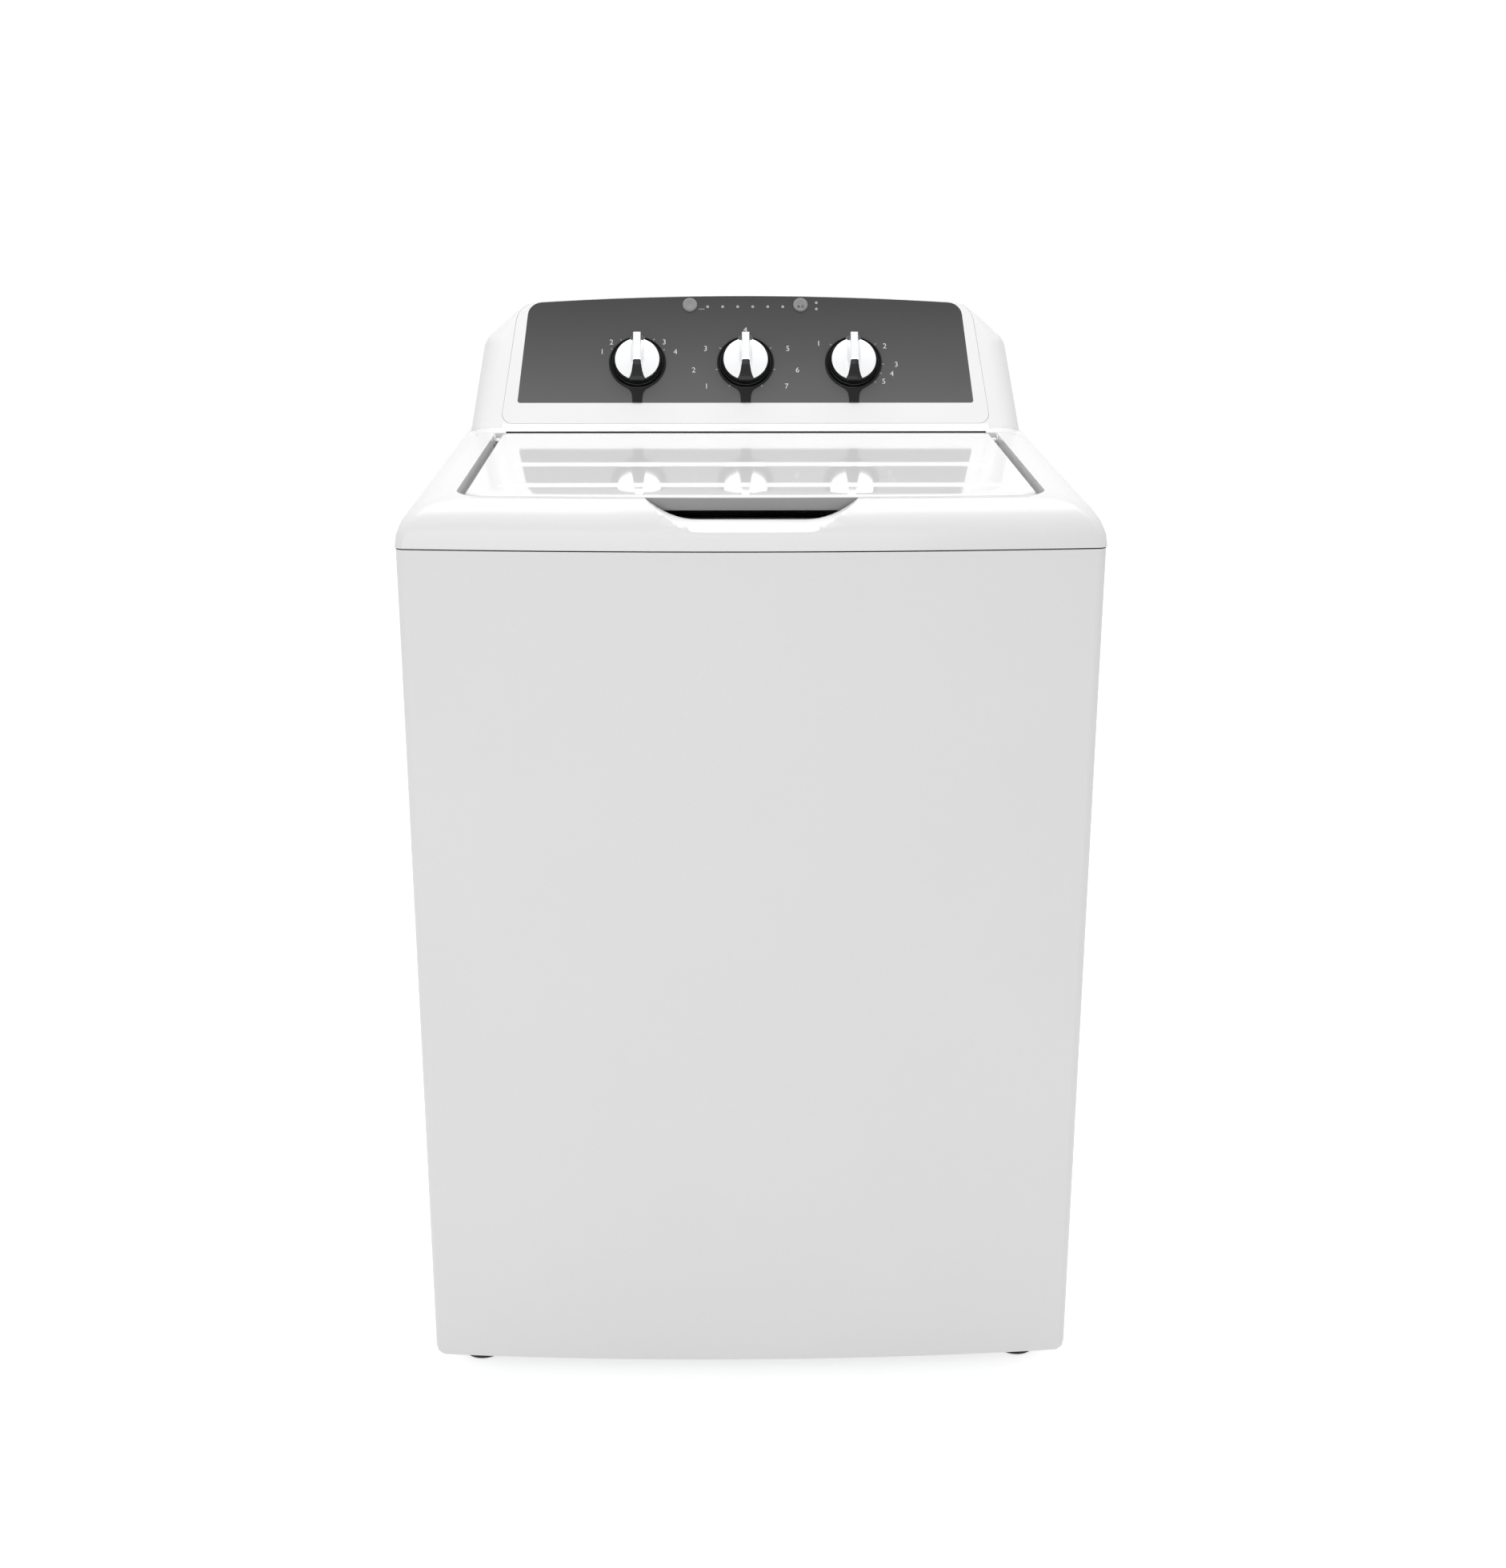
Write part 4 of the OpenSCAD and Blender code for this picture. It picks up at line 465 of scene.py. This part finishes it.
class WASHER_OT_dials(Operator):
    """Turn the three dials: black skirt, plated cap with its pointer bar, and the black grip below it."""

    bl_idname = "washer.dials"
    bl_label = "Dials"

    def execute(self, context):
        set_ = context.scene.washer_dials
        r, h = set_.cap_radius, set_.cap_height
        half, top = set_.bar_width / 2, set_.bar_height
        for name, x in DIALS.items():
            at = FACE @ Matrix.Translation((x, DIAL_S, 0))
            skirt = turned(name + "_skirt", [
                (0.012, 0.0032), (r + 0.0018, 0.0032), (r + 0.0024, 0.0038), (r + 0.0022, 0.0055),
                (r + 0.0012, 0.0082), (r + 0.0003, h - 0.0014), (r - 0.0008, h - 0.0006), (0.012, h - 0.0006),
                (0.012, 0.0032)])
            place(skirt, at, "black_abs", name, "knob_silver")
            cap = turned(name + "_cap", [
                (0.0, h - 0.0022), (r - 0.0012, h - 0.0022), (r - 0.0004, h - 0.0016), (r - 0.0002, h - 0.0008),
                (r - 0.0008, h - 0.0002), (r - 0.0022, h), (0.0, h)])
            place(cap, at, "silver", name, "knob_silver", replaced=(name,))
            # pointer bar with hollowed flanks, highest over most of its length, rooted in the cap
            root = h - 0.003
            sections = []
            for s, rise, slim in ((r + 0.0024, 0.30, 0.90), (r + 0.0026, 0.70, 0.94), (r + 0.0020, 0.94, 0.97),
                                  (r + 0.0008, 1.0, 1.0), (-0.0045, 1.0, 1.0), (-0.0068, 0.93, 0.97)):
                peak = root + (top - root) * rise
                wide = 0.0045 * min(1.0, rise + 0.2)
                side = [(half + wide * (1 - t) ** 2.2, root + (peak - root) * t ** 0.9)
                        for t in (0, 0.2, 0.4, 0.6, 0.8, 0.93)] + [(half - 0.0004, peak)]
                ring = [(u * slim, s, w) for u, w in side] + [(-u * slim, s, w) for u, w in reversed(side)]
                sections.append(ring)
            bar = ridge(name + "_bar", sections)
            place(bar, at, "silver", name, "knob_silver", angle=24)
            # the bar's flanks run on down the cap as low hollow slopes
            slope = [(0.0094, -0.001), (0.0094, 0.0002), (0.0078, 0.0006), (0.0064, 0.0015),
                     (0.0056, 0.0028), (0.0030, 0.0028)]
            sections = [[(u, s, h + w * rise) for u, w in slope] + [(-u, s, h + w * rise) for u, w in reversed(slope)]
                        for s, rise in ((-0.0030, 1.0), (-0.0100, 1.0), (-0.0160, 0.8), (0.0028 - r, 0.1))]
            place(ridge(name + "_flanks", sections), at, "silver", name, "knob_silver", angle=24)
            # black grip that flares from the bar's foot to the rim
            sections = []
            for s, wide, peak in ((-0.0062, 0.0043, top - 0.0006), (-0.0100, 0.0047, top - 0.0018),
                                  (-0.0140, 0.0054, top - 0.0044), (-0.0180, 0.0064, top - 0.0078),
                                  (-0.0215, 0.0076, h + 0.0030), (-r + 0.0018, 0.0094, h + 0.0010),
                                  (-r + 0.0004, 0.0098, h + 0.0005), (-r - 0.0012, 0.0080, h - 0.0008)):
                foot = h - 0.0026
                sections.append([(-wide - 0.0008, s, foot), (-wide, s, peak - 0.0010), (-wide + 0.0008, s, peak),
                                 (wide - 0.0008, s, peak), (wide, s, peak - 0.0010), (wide + 0.0008, s, foot)])
            grip = ridge(name + "_grip", sections)
            modify(grip, "BEVEL", width=0.0005, segments=3, limit_method="ANGLE", angle_limit=math.radians(40))
            place(grip, at, "black_abs", name, "knob_silver")
        return {"FINISHED"}


class WASHER_OT_bezels(Operator):
    """Mould the bezel ring round each dial, with the waisted stem that runs down to the overlay's edge."""

    bl_idname = "washer.bezels"
    bl_label = "Bezels"

    def execute(self, context):
        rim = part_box("dial_bezels")[1][0] - DIALS["temperature_knob"]
        foot = -DIAL_S + 0.0012      # from the dial's middle down to just above the overlay's lower edge
        flank = [(0.0057, foot), (0.0058, -0.0460), (0.0061, -0.0425), (0.0066, -0.0395), (0.0074, -0.0370),
                 (0.0086, -0.0350), (0.0103, -0.0333), (0.0126, -0.0318), (0.0150, -0.0305), (0.0150, -0.0290)]
        bezels = []
        for x in DIALS.values():
            ring = turned("ring", [
                (rim - 0.0048, 0.0001), (rim, 0.0001), (rim + 0.0001, 0.0010), (rim - 0.0002, 0.0017),
                (rim - 0.0009, 0.0023), (rim - 0.0015, 0.0024), (rim - 0.0021, 0.0022), (rim - 0.0030, 0.0010),
                (rim - 0.0048, 0.0008), (rim - 0.0048, 0.0001)], steps=96)
            stem = plate("stem", [(-w, s) for w, s in flank] + [(w, s) for w, s in reversed(flank)], 0.0001, 0.0014)
            modify(stem, "BEVEL", width=0.0003, segments=2, limit_method="ANGLE", angle_limit=math.radians(50))
            bezel = joined("bezel", [ring, stem])
            bezel.matrix_world = Matrix.Translation((x, DIAL_S, 0))
            bezels.append(bezel)
        place(joined("dial_bezel_rings", bezels), FACE, "black_abs", "cabinet", "black_gloss", ("dial_bezels",))
        return {"FINISHED"}


def arc_band(name, radius, width, first, last, low, high):
    """A flat band along an arc, its angles given clockwise from up."""
    steps = max(4, int(abs(last - first) / 4))
    angles = [math.radians(first + (last - first) * k / steps) for k in range(steps + 1)]
    inner = [(radius * math.sin(a), radius * math.cos(a)) for a in angles]
    outer = [((radius + width) * math.sin(a), (radius + width) * math.cos(a)) for a in reversed(angles)]
    return plate(name, inner + outer, low, high)


class WASHER_OT_print(Operator):
    """Print the dial scales, their figures and the start symbol on the overlay."""

    bl_idname = "washer.print"
    bl_label = "Printing"

    def execute(self, context):
        size = context.scene.washer_dials.figure_height
        low, high = 0.00002, 0.00008     # the ink's thin layer over the overlay
        tick_half, tick_in, tick_out = 0.00022, 0.0328, 0.0362
        band_in, band_width = 0.0322, 0.0011
        # each dial: its ticks in degrees clockwise from up, and the places of their figures
        scales = {
            "water_level_knob": ((-60, -34, 33, 62), ((-0.0417, 0.0137), (-0.0309, 0.0258), (0.0313, 0.026),
                                                      (0.0445, 0.0136))),
            "cycle_knob": ((-147, -104, -58, 0, 58, 104, 147), ((-0.046, -0.0299), (-0.061, -0.0095), (-0.047, 0.0177),
                           (0.0, 0.0415), (0.050, 0.0177), (0.061, -0.0095), (0.048, -0.0299))),
            "temperature_knob": ((-49, 48, 93, 112.6, 134), ((-0.0406, 0.0243), (0.0373, 0.0209), (0.0505, -0.0024),
                                 (0.0451, -0.0142), (0.0354, -0.0239))),
        }
        for name, (angles, labels) in scales.items():
            at = FACE @ Matrix.Translation((DIALS[name], DIAL_S, 0))
            marks = []
            for k, (angle, label) in enumerate(zip(angles, labels)):
                tick = plate("tick", [(-tick_half, tick_in), (tick_half, tick_in), (tick_half, tick_out),
                                      (-tick_half, tick_out)], low, high)
                tick.matrix_world = Matrix.Rotation(-math.radians(angle), 4, "Z")
                marks.append(tick)
                marks.append(figure(str(k + 1), size, label, high))
            place(joined(name + "_scale", marks), at, "ink", "cabinet", "overlay", angle=0)
        button_x, button_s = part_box("start_button")[0][0] / 2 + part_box("start_button")[1][0] / 2, 0.1221
        # a thin lead runs from the left button's rim to the first lamp
        lead_from, lead_to = -button_x + 0.0105, -0.0482
        lead = plate("lamp_lead", [(lead_from, button_s - 0.0024), (lead_to, button_s - 0.0024),
                                   (lead_to, button_s - 0.0020), (lead_from, button_s - 0.0020)], low, high)
        place(lead, FACE, "ink", "cabinet", "overlay", angle=0)
        # the play and pause sign lies on the right button's face
        rise, ink = 0.0023, 0.00006
        arrow = plate("arrow", [(-0.0034, -0.0021), (0.0, 0.0), (-0.0034, 0.0021)], rise, rise + ink)
        bars = [plate("bar", [(x, -0.0019), (x + 0.0009, -0.0019), (x + 0.0009, 0.0019), (x, 0.0019)],
                      rise, rise + ink) for x in (0.0011, 0.0029)]
        place(joined("start_symbol", [arrow] + bars), FACE @ Matrix.Translation((button_x, button_s, 0)), "dark_ink",
              "start_button", "button_grey", angle=0)
        for name, dial, colour, first, last in (("cold_band", "water_level_knob", "blue_ink", -28, 58),
                                                ("warm_band", "temperature_knob", "red_ink", 92, 136)):
            band = arc_band(name, band_in, band_width, first, last, low, high)
            place(band, FACE @ Matrix.Translation((DIALS[dial], DIAL_S, 0)), colour, "cabinet", "overlay", angle=0)
        return {"FINISHED"}


class WASHER_OT_finishes(Operator):
    """Give every piece of the frame its finish."""

    bl_idname = "washer.finishes"
    bl_label = "Finishes"

    def execute(self, context):
        FINISH.update(make_finishes())
        for name, nodes in NODE_FINISH.items():
            for part in nodes:
                dress(part, FINISH[name])
        return {"FINISHED"}


# ---- sheet metal outlines ----
HALF_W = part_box("top_cover")[1][0]
FRONT_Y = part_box("top_cover")[0][1]
FRONT_BOW = 0.0156       # how far the front stands out in the middle
BOW_R = (HALF_W ** 2 + FRONT_BOW ** 2) / (2 * FRONT_BOW)


def bowed_front(half, front, bow_r, corner, back, steps=40):
    """Left side, bowed front and right side of a cabinet outline, as an open chain from the left rear."""
    a = math.asin((half - corner) / (bow_r - corner))
    cx, cy = half - corner, front + bow_r - (bow_r - corner) * math.cos(a)
    right = [(bow_r * math.sin(a * k / steps), front + bow_r - bow_r * math.cos(a * k / steps))
             for k in range(steps + 1)]
    turn = [-math.pi / 2 + a + (math.pi / 2 - a) * k / 8 for k in range(1, 9)]
    right += [(cx + corner * math.cos(t), cy + corner * math.sin(t)) for t in turn]
    right.append((half, back))
    return [(-x, y) for x, y in reversed(right)] + right[1:]


class WASHER_OT_lid_shade_and_ribs(Operator):
    """Lay a grey strip of painted shade under the lid's front fold and press the lid's two ribs."""

    bl_idname = "washer.lid_trim"
    bl_label = "Lid shade and ribs"

    def execute(self, context):
        low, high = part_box("lid_panel")
        front, top = low[1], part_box("top_cover")[1][2] + 0.0004
        # the strip follows the lid's front, which bows like the cover's but stands further back
        bow = BOW_R - 0.041
        half, thick, steps = 0.125, 0.0012, 20
        line = [(x * half / steps, front + bow - math.sqrt(bow ** 2 - (x * half / steps) ** 2))
                for x in range(-steps, steps + 1)]
        outline = [(x, y - thick / 2) for x, y in line] + [(x, y + thick / 2) for x, y in reversed(line)]
        # the grey strip is painted shade on the lid's front face
        strip = plate("lid_front_shade_strip", outline, top - 0.0143, top - 0.0022)
        modify(strip, "BEVEL", width=0.0002, segments=2, limit_method="ANGLE", angle_limit=math.radians(40))
        place(strip, Matrix.Identity(4), "shade_grey", "lid", "light_plastic")
        # both ribs fade out 30 mm from the lid's sides
        reach = high[0] - 0.030
        for name, share in (("front", 0.15), ("rear", 0.46)):
            mid = front + (high[1] - front) * share
            section = [(-0.0095, -0.0006), (-0.0088, 0.0001), (-0.0070, 0.0007), (-0.0018, 0.0020), (0.0, 0.0022),
                       (0.0018, 0.0020), (0.0070, 0.0007), (0.0088, 0.0001), (0.0095, -0.0006)]
            rings = []
            for x, scale in ((-reach, 0.15), (-reach + 0.002, 0.5), (-reach + 0.006, 0.88), (-reach + 0.012, 1.0),
                             (reach - 0.012, 1.0), (reach - 0.006, 0.88), (reach - 0.002, 0.5), (reach, 0.15)):
                rings.append([(x, mid + y, top + (z if z < 0 else z * scale)) for y, z in section])
            rib = ridge("lid_rib_" + name, rings)
            place(rib, Matrix.Identity(4), "lid_enamel_brightened", "lid", "painted_steel", angle=60)
        return {"FINISHED"}


class WASHER_OT_springs(Operator):
    """Copy the four suspension springs' wire, weld and smooth it, and fix it to the cabinet in place of the frame node.
    """

    bl_idname = "washer.springs"
    bl_label = "Springs"

    def execute(self, context):
        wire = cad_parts["suspension_springs"]
        coils = bpy.data.objects.new("spring_coils", wire.data.copy())
        context.scene.collection.objects.link(coils)
        coils.matrix_world = wire.matrix_world.copy()
        bpy.ops.object.select_all(action="DESELECT")
        context.view_layer.objects.active = coils
        coils.select_set(True)
        bpy.ops.object.mode_set(mode="EDIT")
        bpy.ops.mesh.select_all(action="SELECT")
        bpy.ops.mesh.remove_doubles(threshold=FACET_TOUCH)
        bpy.ops.object.mode_set(mode="OBJECT")
        place(coils, Matrix.Identity(4), "plated", "cabinet", "steel", ("suspension_springs",), angle=60)
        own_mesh(coils)
        return {"FINISHED"}


class WASHER_OT_seam(Operator):
    """Lay the black strips that paint shade: in the seam below the top cover, and at the console's foot."""

    bl_idname = "washer.seam"
    bl_label = "Seam shade strips"

    def execute(self, context):
        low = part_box("cabinet_wrapper")[1][2]
        # both edges of the strip follow the cover's outline, a little further in
        outer, inner = (bowed_front(HALF_W - inset, FRONT_Y + 0.001 + inset, BOW_R - inset, 0.010 - inset, 0.095)
                        for inset in (0.0012, 0.0019))
        # the seam strip is painted shade inside the seam below the cover
        shade_strip = plate("seam_shade_strip", outer + list(reversed(inner)), low + 0.0001, low + 0.0014)
        place(shade_strip, Matrix.Identity(4), "painted_shade", "cabinet", "rubber")
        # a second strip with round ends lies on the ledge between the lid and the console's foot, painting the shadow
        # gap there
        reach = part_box("lid_panel")[1][0] - 0.006
        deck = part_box("top_cover")[1][2]
        mid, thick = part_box("console_body")[0][1] - 0.0018, 0.0015
        turn = [math.radians(-90 + 15 * k) for k in range(13)]
        end = [(reach + thick * math.cos(a), mid + thick * math.sin(a)) for a in turn]
        strip = plate("console_foot_shade_strip", end + [(-x, y) for x, y in reversed(end)], deck - 0.0001, deck + 0.0016)
        modify(strip, "BEVEL", width=0.0004, segments=2, limit_method="ANGLE", angle_limit=math.radians(40))
        place(strip, Matrix.Identity(4), "painted_shade", "cabinet", "rubber")
        return {"FINISHED"}


def seen_by(tree, *kinds):
    """A value of one for rays of these kinds and nought for the others."""
    rays = node(tree, "ShaderNodeLightPath")
    seen = rays.outputs["Is " + kinds[0] + " Ray"]
    for kind in kinds[1:]:
        either = node(tree, "ShaderNodeMath", {0: seen, 1: rays.outputs["Is " + kind + " Ray"]}, operation="MAXIMUM")
        seen = either.outputs[0]
    return seen


def backdrop_material(name, code):
    """A pale matt surface that the camera and reflections see as plain white away from the shadow."""
    material = bpy.data.materials.new(name)
    material.use_nodes = True
    tree = material.node_tree
    tree.nodes.clear()
    matt = node(tree, "ShaderNodeBsdfDiffuse", {"Color": linear(code)})
    glow = node(tree, "ShaderNodeEmission", {"Color": (1, 1, 1, 1), "Strength": 0.64})
    both = node(tree, "ShaderNodeAddShader")
    tree.links.new(matt.outputs[0], both.inputs[0])
    tree.links.new(glow.outputs[0], both.inputs[1])
    mix = node(tree, "ShaderNodeMixShader", {0: seen_by(tree, "Camera", "Glossy")})
    tree.links.new(matt.outputs[0], mix.inputs[1])
    tree.links.new(both.outputs[0], mix.inputs[2])
    out = node(tree, "ShaderNodeOutputMaterial")
    tree.links.new(mix.outputs[0], out.inputs["Surface"])
    return material


def softbox(name, size, at, aim, power):
    """A rectangular area light that looks at a point."""
    lamp = bpy.data.lights.new(name, "AREA")
    lamp.shape = "RECTANGLE"
    lamp.size, lamp.size_y = size
    lamp.energy = power
    holder = bpy.data.objects.new(name, lamp)
    bpy.context.scene.collection.objects.link(holder)
    holder.location = at
    holder.rotation_euler = (Vector(aim) - Vector(at)).to_track_quat("-Z", "Y").to_euler()
    return holder


class WASHER_OT_stage(Operator):
    """Lay the floor, light the machine and set the camera."""

    bl_idname = "washer.stage"
    bl_label = "Stage"

    def execute(self, context):
        set_ = context.scene.washer_stage
        bpy.ops.mesh.primitive_plane_add(size=1.0, location=(0, 0, 0))
        floor = context.object
        floor.name = "floor"
        floor.scale = (30, 30, 1)
        floor.data.materials.append(backdrop_material("pale_floor", "F2F2F2"))
        world = bpy.data.worlds.new("surround")
        context.scene.world = world
        world.use_nodes = True
        tree = world.node_tree
        tree.nodes.clear()
        level = node(tree, "ShaderNodeMapRange", {"Value": seen_by(tree, "Camera", "Glossy", "Transmission"),
                                                  "To Min": set_.surround, "To Max": 1.0})
        sky = node(tree, "ShaderNodeBackground", {"Color": (1, 1, 1, 1), "Strength": level.outputs[0]})
        out = node(tree, "ShaderNodeOutputWorld")
        tree.links.new(sky.outputs[0], out.inputs["Surface"])
        softbox("front_softbox", (3.0, 2.4), (-0.6, -3.6, 1.9), (0, 0, 0.7), set_.front_light)
        softbox("top_softbox", (2.6, 1.6), (0.0, 0.2, 3.1), (0, 0.1, 0.9), set_.top_light)
        for name, x in (("left_softbox", -3.2), ("right_softbox", 3.2)):
            softbox(name, (2.0, 2.6), (x, -0.8, 1.6), (0, 0, 0.7), 0.12 * set_.front_light)
        back = softbox("back_softbox", (2.4, 2.0), (0.3, 3.4, 2.2), (0, 0, 0.7), 0.7 * set_.front_light)
        back.visible_glossy = False      # no glare on the flat deck
        eye = bpy.data.cameras.new("camera")
        eye.lens = set_.lens
        eye.sensor_width = 36
        eye.clip_start, eye.clip_end = 0.05, 100
        camera = bpy.data.objects.new("camera", eye)
        context.scene.collection.objects.link(camera)
        camera.location = (-0.0310, -2.3332, 1.3374)
        camera.rotation_euler = [math.radians(a) for a in (72.037, -0.088, -0.895)]
        context.scene.camera = camera
        context.scene.view_settings.view_transform = "Standard"
        return {"FINISHED"}


CLASSES = [FinishSettings, DialSettings, StageSettings, WASHER_OT_finishes, WASHER_OT_dials, WASHER_OT_bezels,
           WASHER_OT_print, WASHER_OT_lid_shade_and_ribs, WASHER_OT_seam, WASHER_OT_springs, WASHER_OT_stage]
STEPS = ["finishes", "dials", "bezels", "print", "lid_trim", "seam", "springs", "stage"]


class WASHER_PT_panel(Panel):
    """Lists the steps that dress the machine."""

    bl_label = "Washer"
    bl_idname = "WASHER_PT_panel"
    bl_space_type = "VIEW_3D"
    bl_region_type = "UI"
    bl_category = "Washer"

    def draw(self, context):
        for step in STEPS:
            self.layout.operator("washer." + step)


CLASSES.append(WASHER_PT_panel)


def register():
    for cls in CLASSES:
        bpy.utils.register_class(cls)
    bpy.types.Scene.washer_finish = PointerProperty(type=FinishSettings)
    bpy.types.Scene.washer_dials = PointerProperty(type=DialSettings)
    bpy.types.Scene.washer_stage = PointerProperty(type=StageSettings)


def unregister():
    del bpy.types.Scene.washer_stage
    del bpy.types.Scene.washer_dials
    del bpy.types.Scene.washer_finish
    for cls in reversed(CLASSES):
        bpy.utils.unregister_class(cls)


def main():
    """Build everything in order."""
    register()
    for step in STEPS:
        getattr(bpy.ops.washer, step)()


if __name__ == "__main__":
    main()
